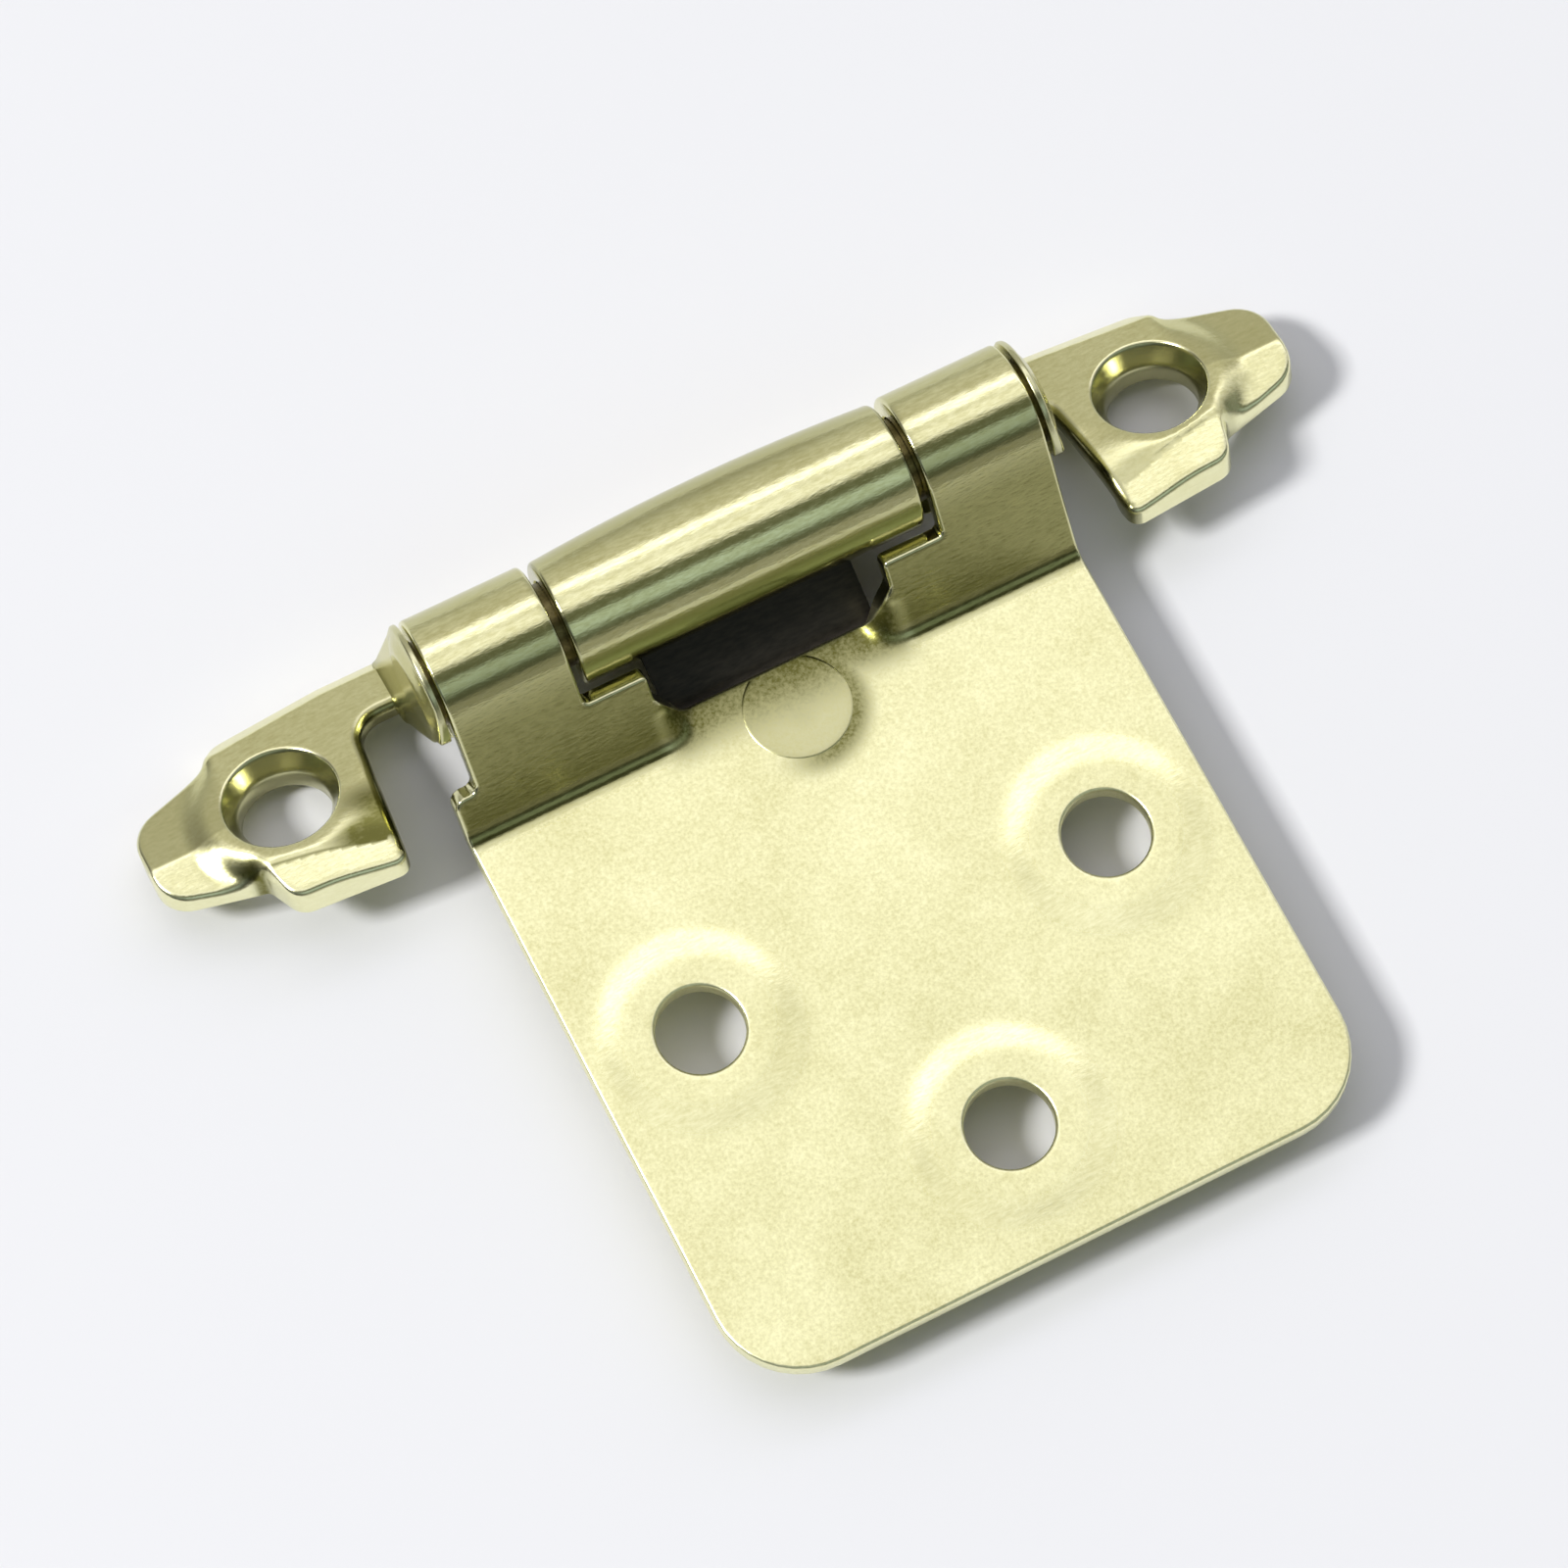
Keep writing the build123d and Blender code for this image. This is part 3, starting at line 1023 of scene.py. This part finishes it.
@dataclass
class StampedEars:
    """Strip and ears of the wing: a hollow stamping over a plan, with a funnel hole in each ear.

    Plan places are x along the pin and v back across the wing; both ears share one half plan.
    """

    pin: PinLine
    sheet: float = 1.2
    height: float = 2.6
    plan: tuple[Point, ...] = (
        (21.6, 2.6, 1.6),
        (22.45, -6.75, 0.8),
        (29.0, -6.2, 1.3),
        (29.95, -3.85, 0.5),
        (35.5, -2.3, 2.1),
        (35.5, 2.8, 2.3),
        (30.2, 4.6, 1.5),
        (29.2, 6.5, 1.2),
        (22.5, 6.95, 4.0),
    )
    lobe_x: float = 22.5
    hole_x: float = 27.2
    hole_radius: float = 2.65
    hole_points: int = 96
    funnel_inset: tuple[float, ...] = (
        0.85, 0.78, 0.71, 0.65, 0.58, 0.4, 0.18, 0.05, 0.0, 0.0, 0.04, 0.14,
    )
    funnel_lift: tuple[float, ...] = (
        0.0, 0.01, 0.045, 0.11, 0.26, 0.6, 1.05, 1.3, 1.5, 0.14, 0.04, 0.0,
    )
    funnel_front: int = 9
    boss: float = 3.75
    collar: float = 1.1
    wall: float = 0.95
    inner_slope: float = 2.5
    slot_side: Span = (22.3, 23.4)
    slot_back: Span = (3.4, 4.6)
    slot_mouth: Span = (-6.6, -5.6)
    slot_roll: float = 0.9
    creases: Span = (-5.3, -5.0)
    crease_run: float = 0.2
    fold_ends: Span = (21.8, 30.2)
    fold_step: float = 0.16
    fold_rows: Span = (0.0, 0.12)
    ledge: float = 1.75
    ledge_rise: float = 0.68
    ledge_span: Span = (22.4, 27.2)
    ledge_slope: float = 0.3
    hollow_start: Span = (0.0, 1.4)
    hollow_power: float = 1.5
    power_span: Span = (24.4, 27.2)
    tip_height: float = 1.95
    tip_fall: Span = (0.1, 2.4)
    tip_span: Span = (27.8, 31.0)
    facet_line: float = -0.35
    facet_slope: float = 0.33
    facet_fall: Span = (0.3, 2.4)
    flank_slope: float = 1.05
    flank_power: float = 1.25
    flank_blend: float = 0.06
    flank_share: float = 0.7
    flank_span: Span = (0.6, 3.4)
    outer_span: Span = (29.3, 30.4)
    back_line: float = 5.4
    back_taper: float = 0.1
    back_slope: float = 0.85
    edge: Span = (0.32, 0.12)
    step: float = 0.3
    spacing: float = 0.18
    shade: EarShade = EarShade()

    def outline(self) -> Array:
        """Plan of strip and ears, counter-clockwise: the right half and its mirror picture."""
        mirrored = [(-x, v, radius) for x, v, radius in reversed(self.plan)]
        return rounded_loop([*self.plan, *mirrored], self.step)

    def slot_share(self, flat: Array) -> Array:
        """Share of slot edge at plan places, where the sheet ends in a plain rolled-over cut."""
        x, v = np.abs(flat[:, 0]), flat[:, 1]
        return fade(x, *self.slot_side) * fade(v, *self.slot_back) * ramp(v, *self.slot_mouth)

    def runs(self, slot: bool) -> Pair:
        """Straight pieces of the outline.

        Args:
            slot: Whether the slots' pieces are meant, or those that carry a wall.

        Returns:
            First and last ends of the pieces.
        """
        line = self.outline()
        following = np.roll(line, -1, axis=0)
        kept = (self.slot_share((line + following) / 2) > MIDDLE) == slot
        return line[kept], following[kept]

    def crease(self, x: Array) -> Array:
        """Place across the wing of each ear's front crease, a line that runs back to the tip."""
        return np.where(x < 0.0, *self.creases) + self.crease_run * (np.abs(x) - self.lobe_x)

    def ridge(self, flat: Array) -> Array:
        """Way out from the rim of the flat face round each hole."""
        return np.maximum(np.hypot(np.abs(flat[:, 0]) - self.hole_x, flat[:, 1]) - self.boss, 0.0)

    def fall_share(self, flat: Array) -> Array:
        """Share of the way from the rim of a hole's flat face, 0, to the crease, 1."""
        ridge, ahead = self.ridge(flat), flat[:, 1] - self.crease(flat[:, 0])
        return ridge / (ridge + np.maximum(ahead, 0.0) + TINY)

    def top(self, flat: Array) -> Array:
        """Height of the stamped face over the mounting face.

        A flat face runs from the strip round each screw hole. In front of the hole it falls, faster
        and faster, to a crease, and a ledge goes on from there, which rises to the flat face at the
        tip's end. Beyond the hole it falls to the lower tip, whose front half is a facet. The back
        slopes off past a line that closes in towards the tip.

        Args:
            flat: Plan places.

        Returns:
            The height for each place.
        """
        x, v = np.abs(flat[:, 0]), flat[:, 1]
        ridge, crease = self.ridge(flat), self.crease(flat[:, 0])
        ledge = self.ledge + self.ledge_rise * ramp(x, *self.ledge_span)
        power = self.hollow_power + ramp(x, *self.power_span)
        sunk = self.fall_share(flat) ** power * ramp(-v, *self.hollow_start)
        hollow = self.height - (self.height - ledge) * sunk
        lobe = np.where(v < crease, ledge + self.ledge_slope * (v - crease), hollow)
        fall = self.facet_slope * np.maximum(self.facet_line - v, 0.0)
        tip_drop = (self.height - self.tip_height) * ramp(ridge, *self.tip_fall)
        soft = self.height - tip_drop * ramp(x, *self.tip_span)
        soft -= fall * ramp(ridge, *self.facet_fall)
        facet = self.tip_height - fall
        flank = self.height - self.flank_slope * ridge**self.flank_power
        upper = (facet + flank + np.sqrt((facet - flank) ** 2 + self.flank_blend)) / 2
        steep = np.minimum(upper, self.height)
        tip = soft + self.flank_share * (steep - soft) * ramp(-v, *self.flank_span)
        outer = ramp(x, *self.outer_span)
        past = v - self.back_line + self.back_taper * np.maximum(x - self.lobe_x, 0.0)
        back = self.height - self.back_slope * np.maximum(past, 0.0)
        return np.minimum(lobe * (1.0 - outer) + tip * outer, back)

    def bottom(self, flat: Array) -> Array:
        """Height of the hollow underside: 0 near walls and holes, else a sheet below the top.

        Args:
            flat: Plan places.

        Returns:
            The height for each place.
        """
        away = np.hypot(np.abs(flat[:, 0]) - self.hole_x, flat[:, 1])
        hole = away - self.hole_radius - self.collar
        wall = loop_distance(flat, *self.runs(slot=False)) - self.wall
        rise = np.clip(np.minimum(hole, wall) * self.inner_slope, 0.0, None)
        return np.clip(np.minimum(rise, self.top(flat) - self.sheet), 0.0, None)

    def lifted(self, flat: Array, height: Array) -> Pair:
        """Sets plan places at heights over the mounting face.

        Args:
            flat: Plan places.
            height: Height of each place.

        Returns:
            Places in the row frame, and the way out of the wing.
        """
        none = np.zeros(len(flat))
        places = self.pin.to_row(flat[:, 0], flat[:, 1], height)
        return places, self.pin.to_row(none, none, none + 1.0)

    def front(self, flat: Array) -> Pair:
        """Stamped face of strip and ears over the plan."""
        return self.lifted(flat, self.top(flat))

    def back(self, flat: Array) -> Pair:
        """Hollow underside of strip and ears over the plan."""
        return self.lifted(flat, self.bottom(flat))

    def marks(self, flat: Array) -> Pair:
        """Painted shade of hollows, creases, flanks, funnels and slot edges; half-rolled metal.

        Args:
            flat: Plan places.

        Returns:
            Painted shade, as the largest of its causes, and the share of rolled metal.
        """
        shade, x, v = self.shade, np.abs(flat[:, 0]), flat[:, 1]
        ridge, crease, outer = self.ridge(flat), self.crease(flat[:, 0]), ramp(x, *self.outer_span)
        hollow = ramp(self.fall_share(flat), *shade.hollow_share) * ramp(-v, *shade.hollow_start)
        hollow *= 1.0 - shade.hollow_loss * ramp(x, *shade.hollow_span)
        beside = fade(x, *shade.beside_span) * ramp(-v, *shade.beside_start)
        groove = shade.groove * fade(np.abs(v - crease), *shade.groove_span)
        behind = v >= crease - shade.crease_clear
        lobe = np.maximum(np.maximum(hollow, beside) * behind, groove)
        flank = ramp(ridge, *shade.flank_start) * fade(ridge, *shade.flank_end)
        flank *= ramp(-v, *shade.flank_span)
        front = np.where(flat[:, 0] < 0.0, *shade.front) * (lobe * (1.0 - outer) + flank * outer)
        start = np.where(x > shade.tip_x, self.facet_line, crease)
        face = (shade.face + shade.tip_face * outer) * (v >= start)
        funnel = shade.funnel * fade(np.hypot(x - self.hole_x, v), *shade.funnel_span)
        rim = shade.rim * fade(loop_distance(flat, *self.runs(slot=True)), *shade.rim_span)
        return np.maximum.reduce([front, face, funnel, rim]), np.full(len(flat), shade.rolled)

    def shell(self) -> Shell:
        """Strip and ears as one formed sheet with two funnel holes and folds along the creases.

        Returns:
            The shell.
        """
        line = self.outline()
        scale = 1.0 + self.slot_roll * self.slot_share(line)
        loops = [CutLoop(line, EdgeProfile.rounded(*self.edge), scale)]
        is_back = np.arange(len(self.funnel_lift)) >= self.funnel_front
        funnel = EdgeProfile(np.array(self.funnel_inset), np.array(self.funnel_lift), is_back)
        folds = []
        for side in (-1, 1):
            ring = ring_loop(side * self.hole_x, 0.0, self.hole_radius, self.hole_points)
            loops.append(CutLoop(ring, funnel))
            run = side * np.arange(*self.fold_ends, self.fold_step)
            folds += [np.stack([run, self.crease(run) + above], 1) for above in self.fold_rows]
        return FormedSheet(loops, self.spacing, folds).form(self.front, self.back, self.marks)


@dataclass
class PinBarrel:
    """Barrel in the middle of the wing: a sheet that rises from the strip and rolls over the pin.

    Flat places are x along the pin and the way along the sheet from its start on the strip.
    """

    pin: PinLine
    sheet: float = 1.2
    strip_height: float = 2.6
    roll: float = 3.749
    ends: Span = (-9.75, 11.25)
    heel: float = 1.0
    lip: float = 220.0
    bow: float = 0.42
    bow_base: float = 0.1
    bow_start: Span = (3.5, 6.0)
    bow_end: Span = (0.6, 1.6)
    root_sink: float = 0.06
    root_span: Span = (1.2, 1.9)
    corners: Span = (0.3, 0.5)
    edge: Span = (0.25, 0.12)
    step: float = 0.35
    spacing: float = 0.36
    # Painted shade: strengths and spans under the lip, at the back and at the ends.
    lip_shade: float = 0.45
    lip_span: Span = (2.3, 3.0)
    behind_shade: float = 0.5
    behind_span: Span = (1.15, 1.55)
    end_shade: float = 0.7
    end_span: Span = (0.1, 0.3)

    @property
    def quarter(self) -> float:
        """Length of the arc at the heel."""
        return self.heel * np.pi / 2

    @property
    def wall(self) -> float:
        """Height of the straight wall between the heel and the pin's level."""
        return self.pin.height - self.strip_height - self.heel

    def section(self, along: Array) -> tuple[Array, Array, Array]:
        """Line of the outer face from the strip: level, an arc up, a wall, and an arc over the pin.

        Args:
            along: Flat places along the sheet.

        Returns:
            Places and normals across the pin in wing axes, and the angle round the pin.
        """
        past = along - self.sheet
        bend = np.clip(past, 0.0, self.quarter) / self.heel
        back = self.roll + self.heel - np.minimum(past, 0.0) - self.heel * np.sin(bend)
        up = self.heel * (1.0 - np.cos(bend)) - self.wall - self.heel
        up += np.clip(past - self.quarter, 0.0, self.wall)
        normal = np.stack([np.sin(bend), np.cos(bend)], 1)
        angle = np.maximum(past - self.quarter - self.wall, 0.0) / self.roll
        over = np.stack([np.cos(angle), np.sin(angle)], 1)
        rolled = (angle > 0.0)[:, None]
        place = np.where(rolled, over * self.roll, np.stack([back, up], 1))
        return place, np.where(rolled, over, normal), angle

    def placed(self, x: Array, place: Array, normal: Array) -> Pair:
        """Sets places and normals across the pin into the row frame.

        Args:
            x: Way along the pin.
            place: Places from the pin's axis.
            normal: Normals at the places.

        Returns:
            Places and normals in the row frame.
        """
        v, w = place[:, 0] - self.pin.forward, place[:, 1] + self.pin.height
        turned = self.pin.to_row(np.zeros(len(x)), normal[:, 0], normal[:, 1])
        return self.pin.to_row(x, v, w), turned

    def front(self, flat: Array) -> Pair:
        """Outer face: the section carried along X and bowed out at the back between its ends.

        Args:
            flat: Flat places.

        Returns:
            Places and normals.
        """
        x, along = flat[:, 0], flat[:, 1]
        place, normal, angle = self.section(along)
        left, right = self.ends
        share = 1.0 - ((x - (left + right) / 2) / ((right - left) / 2)) ** 2
        bulge = self.bow * share - self.bow_base
        bulge *= ramp(along, *self.bow_start) * fade(angle, *self.bow_end)
        bulge -= self.root_sink * fade(along, *self.root_span)
        return self.placed(x, place + normal * bulge[:, None], normal)

    def back(self, flat: Array) -> Pair:
        """Inner face: the section without the bow, a sheet's thickness inside."""
        place, normal, _ = self.section(flat[:, 1])
        return self.placed(flat[:, 0], place - normal * self.sheet, normal)

    def marks(self, flat: Array) -> Pair:
        """Painted shade under the lip, at the back and at the ends, on rolled metal.

        Args:
            flat: Flat places.

        Returns:
            Painted shade, as the largest of its causes, and the share of rolled metal.
        """
        angle = self.section(flat[:, 1])[2]
        inward = np.minimum(flat[:, 0] - self.ends[0], self.ends[1] - flat[:, 0])
        lip = self.lip_shade * ramp(angle, *self.lip_span)
        behind = self.behind_shade * fade(angle, *self.behind_span)
        end = self.end_shade * fade(inward, *self.end_span)
        return np.maximum.reduce([lip, behind, end]), np.ones(len(flat))

    def shell(self) -> Shell:
        """Barrel as a formed sheet of its own, rooted in the strip.

        Returns:
            The shell.
        """
        left, right = self.ends
        root, tip = self.corners
        end = self.sheet + self.quarter + self.wall + self.roll * np.radians(self.lip)
        corners = [(left, 0.0, root), (right, 0.0, root), (right, end, tip), (left, end, tip)]
        cut = CutLoop(rounded_loop(corners, self.step), EdgeProfile.rounded(*self.edge))
        return FormedSheet([cut], self.spacing).form(self.front, self.back, self.marks)


@dataclass
class PinCheek:
    """Thin cheek at an end of the pin, flat inside, which widens into the strip.

    Flat places are v back across the wing and w out of it; side is -1 or 1, the way out along X.
    """

    pin: PinLine
    inner: float
    side: float
    roll: float = 3.749
    arc: Span = (40.0, 198.0)
    arc_points: int = 70
    base: tuple[Point, ...] = ((-0.9, 3.55, 3.0), (2.3, 1.7, 0.7), (6.4, 1.7, 0.6))
    arc_corners: Span = (0.02, 0.9)
    arc_clear: float = 0.08
    base_clear: float = 0.25
    base_back: float = 2.4
    thin: float = 0.4
    cover: float = 0.42
    cover_span: Span = (2.45, 3.6)
    taper: float = 0.8
    taper_top: float = 8.5
    taper_run: float = 6.0
    flare: float = 0.12
    flare_top: float = 3.2
    flare_run: float = 0.6
    edge: Span = (0.22, 0.08)
    step: float = 0.3
    spacing: float = 0.3
    # Painted shade: some all over the cheek, more towards its base.
    shade: float = 0.36
    base_shade: float = 0.24
    base_span: Span = (2.6, 5.0)
    rolled: float = 0.4

    def from_pin(self, flat: Array) -> Array:
        """Distance from the pin's axis."""
        return np.hypot(flat[:, 0] + self.pin.forward, flat[:, 1] - self.pin.height)

    def line(self) -> Array:
        """Plan of the cheek: a disc round the pin on a base that runs down into the strip.

        Returns:
            Points of the closed plan.
        """
        around = np.radians(np.linspace(*self.arc, self.arc_points))
        disc = self.roll * np.stack([np.cos(around), np.sin(around)], 1)
        disc += np.array([-self.pin.forward, self.pin.height])
        first, last = self.arc_corners
        base = rounded_loop([(*disc[-1], last), *self.base, (*disc[0], first)], self.step)
        beyond = self.from_pin(base) > self.roll + self.arc_clear
        under = (base[:, 1] < disc[-1, 1] - self.base_clear) & (base[:, 0] < self.base_back)
        # The rounded corner of the base takes the place of the arc's last two points.
        return np.concatenate([disc[:-2], base[beyond | under]])

    def outward(self, flat: Array, thickness: Array) -> Pair:
        """Places a thickness outside the inner plane, and the way out."""
        places = self.pin.to_row(self.inner + self.side * thickness, flat[:, 0], flat[:, 1])
        return places, np.tile([self.side, 0.0, 0.0], (len(flat), 1))

    def front(self, flat: Array) -> Pair:
        """Outer face: a shallow dome over the pin, a taper to the top and a flare into the ear.

        Args:
            flat: Flat places.

        Returns:
            Places and normals.
        """
        cover = self.thin + self.cover * fade(self.from_pin(flat), *self.cover_span)
        low = np.clip((self.taper_top - flat[:, 1]) / self.taper_run, 0.0, 1.0)
        foot = np.clip((self.flare_top - flat[:, 1]) / self.flare_run, 0.0, 1.0)
        flare = self.flare * (1.0 - np.sqrt(1.0 - foot**2))
        return self.outward(flat, np.maximum(cover, self.thin + self.taper * low) + flare)

    def back(self, flat: Array) -> Pair:
        """Inner face: a plane beside the knuckle."""
        return self.outward(flat, np.zeros(len(flat)))

    def marks(self, flat: Array) -> Pair:
        """Painted shade all over the cheek, deeper towards its base, on half-rolled metal."""
        shade = self.shade + self.base_shade * fade(flat[:, 1], *self.base_span)
        return shade, np.full(len(flat), self.rolled)

    def shell(self) -> Shell:
        """Cheek as a formed sheet of its own, rooted in the strip."""
        cut = CutLoop(self.line(), EdgeProfile.rounded(*self.edge))
        return FormedSheet([cut], self.spacing).form(self.front, self.back, self.marks)


@dataclass
class FrameWing(SubAssembly):
    """Frame wing: ears on a back strip, a rolled barrel and two cheeks at the pin's ends."""

    pin: PinLine
    cheeks: Span = (-17.8, 19.3)

    def build(self) -> bpy.types.Object:
        """Builds the wing's formed surfaces as one piece.

        Returns:
            The wing's object.
        """
        shells = [StampedEars(self.pin).shell(), PinBarrel(self.pin).shell()]
        for inner, side in zip(self.cheeks, (-1.0, 1.0)):
            shells.append(PinCheek(self.pin, inner, side).shell())
        piece = make_piece("frame_wing_stamping", shells, Body.WING)
        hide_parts("frame_wing")
        return piece


@dataclass
class SpringRivet(SubAssembly):
    """Rivet of the spring: a flush head, a shank and a clinched tail, cut off at the window."""

    x: float = 0.75
    y: float = -7.2502
    top: float = 1.9892
    cut: float = -4.7
    radii: tuple[float, ...] = (
        0.0, 1.6, 2.7, 2.95, 3.08, 3.15, 3.15, 1.6, 1.6, 2.3, 2.4, 2.4, 2.25, 0.0,
    )
    heights: tuple[float, ...] = (
        0.03, 0.03, 0.03, 0.028, 0.01, -0.05, -0.6, -0.6, -1.7, -1.7, -1.75, -1.95, -2.1, -2.1,
    )
    count: int = 96
    sharp: float = 40.0
    # Painted shade of the rivet: some all over, more towards the window's edge.
    shade: float = 0.36
    window_shade: float = 0.54
    window_span: Span = (-8.6, -5.0)

    def build(self) -> bpy.types.Object:
        """Turns the profile round the rivet's axis and flattens it at the window's edge.

        Returns:
            The rivet's object.
        """
        angle = 2.0 * np.pi * np.arange(self.count)[:, None] / self.count
        radius, height = np.array(self.radii), np.array(self.heights)
        x = self.x + radius * np.cos(angle)
        y = np.minimum(self.y + radius * np.sin(angle), self.cut)
        points = np.stack([x, y, np.broadcast_to(self.top + height, x.shape)], 2).reshape(-1, 3)
        plain, none = np.zeros(len(points)), np.empty((0, 3), int)
        # Painted shade, deeper towards the window's edge.
        shade = self.shade + self.window_shade * ramp(points[:, 1], *self.window_span)
        shell = Shell(points, none, tube_quads(*x.shape), plain, shade, plain)
        piece = make_piece("spring_rivet_turned", [shell], Body.LEAF)
        piece.data.set_sharp_from_angle(angle=np.radians(self.sharp))
        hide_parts("spring_rivet")
        return piece


@dataclass(frozen=True)
class SoftLamp:
    """Soft lamp in metres and watts: its place, its size, its power and the point it faces."""

    name: str
    place: Point
    size: Span
    power: float
    aim: Point = (0.0, -0.015, 0.0)

    def hang(self) -> None:
        """Hangs the lamp in the scene."""
        data = bpy.data.lights.new(self.name, "AREA")
        data.shape, data.size, data.size_y, data.energy = "RECTANGLE", *self.size, self.power
        made = add_object(self.name, data)
        facing = Vector(self.aim) - Vector(self.place)
        turned = facing.to_track_quat("-Z", "Y").to_matrix().to_4x4()
        made.matrix_world = Matrix.Translation(self.place) @ turned


@dataclass(frozen=True)
class Studio:
    """Pale floor, soft light and the photograph's camera.

    bands gives the room's tones by degrees from the front horizon over the zenith to the back.
    """

    floor_level: float = -2.17
    floor_reach: float = 4.0
    floor_cells: int = 8
    floor_colour: Colour = (0.732, 0.732, 0.739, 1.0)
    floor_rough: float = 0.9
    floor_gloss: float = 0.1
    lens: float = 130.5
    sensor: float = 36.0
    clip: Span = (0.01, 50.0)
    place: Point = (-49.1135, -108.7008, 296.9993)
    right: Point = (0.891842, -0.452289, -0.007300)
    up: Point = (0.426774, 0.835962, 0.345010)
    back: Point = (-0.149941, -0.310810, 0.938571)
    bands: tuple[tuple[float, Point], ...] = (
        (0.0, (0.42, 0.42, 0.40)),
        (14.0, (0.42, 0.42, 0.40)),
        (22.0, (0.12, 0.13, 0.10)),
        (31.0, (0.13, 0.15, 0.12)),
        (40.0, (0.44, 0.53, 0.55)),
        (54.0, (0.46, 0.55, 0.56)),
        (62.0, (0.12, 0.13, 0.09)),
        (76.0, (0.11, 0.12, 0.08)),
        (85.0, (1.02, 1.01, 1.10)),
        (97.0, (1.06, 1.05, 1.14)),
        (103.0, (0.89, 0.88, 0.93)),
        (111.0, (0.89, 0.88, 0.93)),
        (116.0, (1.75, 1.73, 2.00)),
        (123.0, (1.75, 1.73, 2.00)),
        (134.0, (0.58, 0.56, 0.52)),
        (180.0, (0.52, 0.52, 0.50)),
    )
    room_middle: float = 0.12
    room_right: float = 0.7
    room_span: Span = (0.3, 0.85)
    room_side: float = 0.3
    lamp: SoftLamp = SoftLamp("left_key", (-2.00, 0.31, 2.18), (0.55, 0.55), 79.0)

    def camera(self) -> None:
        """Sets the camera where the photograph was taken from."""
        data = bpy.data.cameras.new("photo_camera")
        data.lens, data.sensor_width = self.lens, self.sensor
        data.clip_start, data.clip_end = self.clip
        made = add_object("photo_camera", data)
        turned = Matrix((self.right, self.up, self.back)).transposed().to_4x4()
        made.matrix_world = Matrix.Translation(Vector(self.place) * MM) @ turned
        bpy.context.scene.camera = made

    def floor(self) -> None:
        """Lays a wide pale floor under the hinge, as a grid of two straight parameters."""
        row = self.floor_cells + 1
        side = np.linspace(-self.floor_reach, self.floor_reach, row)
        x, y = np.meshgrid(side, side)
        points = np.stack([x.ravel(), y.ravel(), np.full(x.size, self.floor_level * MM)], 1)
        here = (np.arange(self.floor_cells)[:, None] * row + np.arange(self.floor_cells)).ravel()
        quads = np.stack([here, here + 1, here + row + 1, here + row], 1)
        mesh = bpy.data.meshes.new("studio_floor")
        mesh.from_pydata(points.tolist(), [], quads.tolist())
        made = add_object("studio_floor", mesh)
        paper, _, surface = start_material("floor_paper")
        surface["Base Color"].default_value = self.floor_colour
        surface["Roughness"].default_value = self.floor_rough
        surface["Specular IOR Level"].default_value = self.floor_gloss
        mesh.materials.append(paper)

    def room(self) -> None:
        """Makes the room: tones in bands across the sky, which fade towards both sides."""
        made = bpy.data.worlds.new("studio_room")
        made.use_nodes = True
        bpy.context.scene.world = made
        bench = NodeBench(made.node_tree)
        toward = bench.add("ShaderNodeTexCoord").outputs["Generated"]
        parts = bench.add("ShaderNodeSeparateXYZ", {"Vector": toward}).outputs
        angle = bench.math("ARCTAN2", parts["Z"], bench.math("MULTIPLY", parts["Y"], -1.0))
        share = bench.math("DIVIDE", angle, np.pi)
        tone = bench.add("ShaderNodeValToRGB", {"Fac": share})
        stops = tone.color_ramp.elements
        ready = len(stops)
        for number, (degrees, colour) in enumerate(self.bands):
            place = degrees / HALF_TURN
            stop = stops[number] if number < ready else stops.new(place)
            stop.position = place
            stop.color = (*colour, 1.0)
        across = bench.math("SUBTRACT", parts["X"], self.room_middle)
        leftward = bench.math("MULTIPLY", across, -1.0)
        rightward = bench.math("MULTIPLY", across, self.room_right)
        near, far = self.room_span
        limits = {"From Min": near, "From Max": far, "To Min": 1.0, "To Max": self.room_side}
        limits["Value"] = bench.math("MAXIMUM", leftward, rightward)
        dim = bench.add("ShaderNodeMapRange", limits, interpolation_type="SMOOTHSTEP")
        sky = made.node_tree.nodes["Background"]
        bench.feed(tone.outputs["Color"], sky.inputs["Color"])
        bench.feed(dim.outputs["Result"], sky.inputs["Strength"])

    def build(self) -> None:
        """Sets up camera, floor, room and lamp."""
        bpy.context.scene.view_settings.view_transform = "Standard"
        self.camera()
        self.floor()
        self.room()
        self.lamp.hang()


def main() -> None:
    """Builds the hinge's pieces in order, dresses them and sets up the studio."""
    logging.basicConfig(level=logging.INFO, format="%(name)s: %(message)s")
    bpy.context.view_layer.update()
    pin = PinLine()
    grain = PlatingGrain().group()
    assemblies = (
        DoorLeaf(PlatedFinish("leaf_plating"), pin),
        FrameWing(PlatedFinish("wing_plating"), pin),
        SpringRivet(PlatedFinish("rivet_plating", relief=0.3)),
        CarriedNode(PinPaintedShadeFinish(), "hinge_pin"),
        CarriedNode(SpringFinish(), "closing_spring"),
    )
    for assembly in assemblies:
        piece = assembly.build()
        assembly.dress(piece, grain)
        LOG.info("%s: %d faces, %s", piece.name, len(piece.data.polygons), assembly.finish.name)
    Studio().build()


if __name__ == "__main__":
    main()
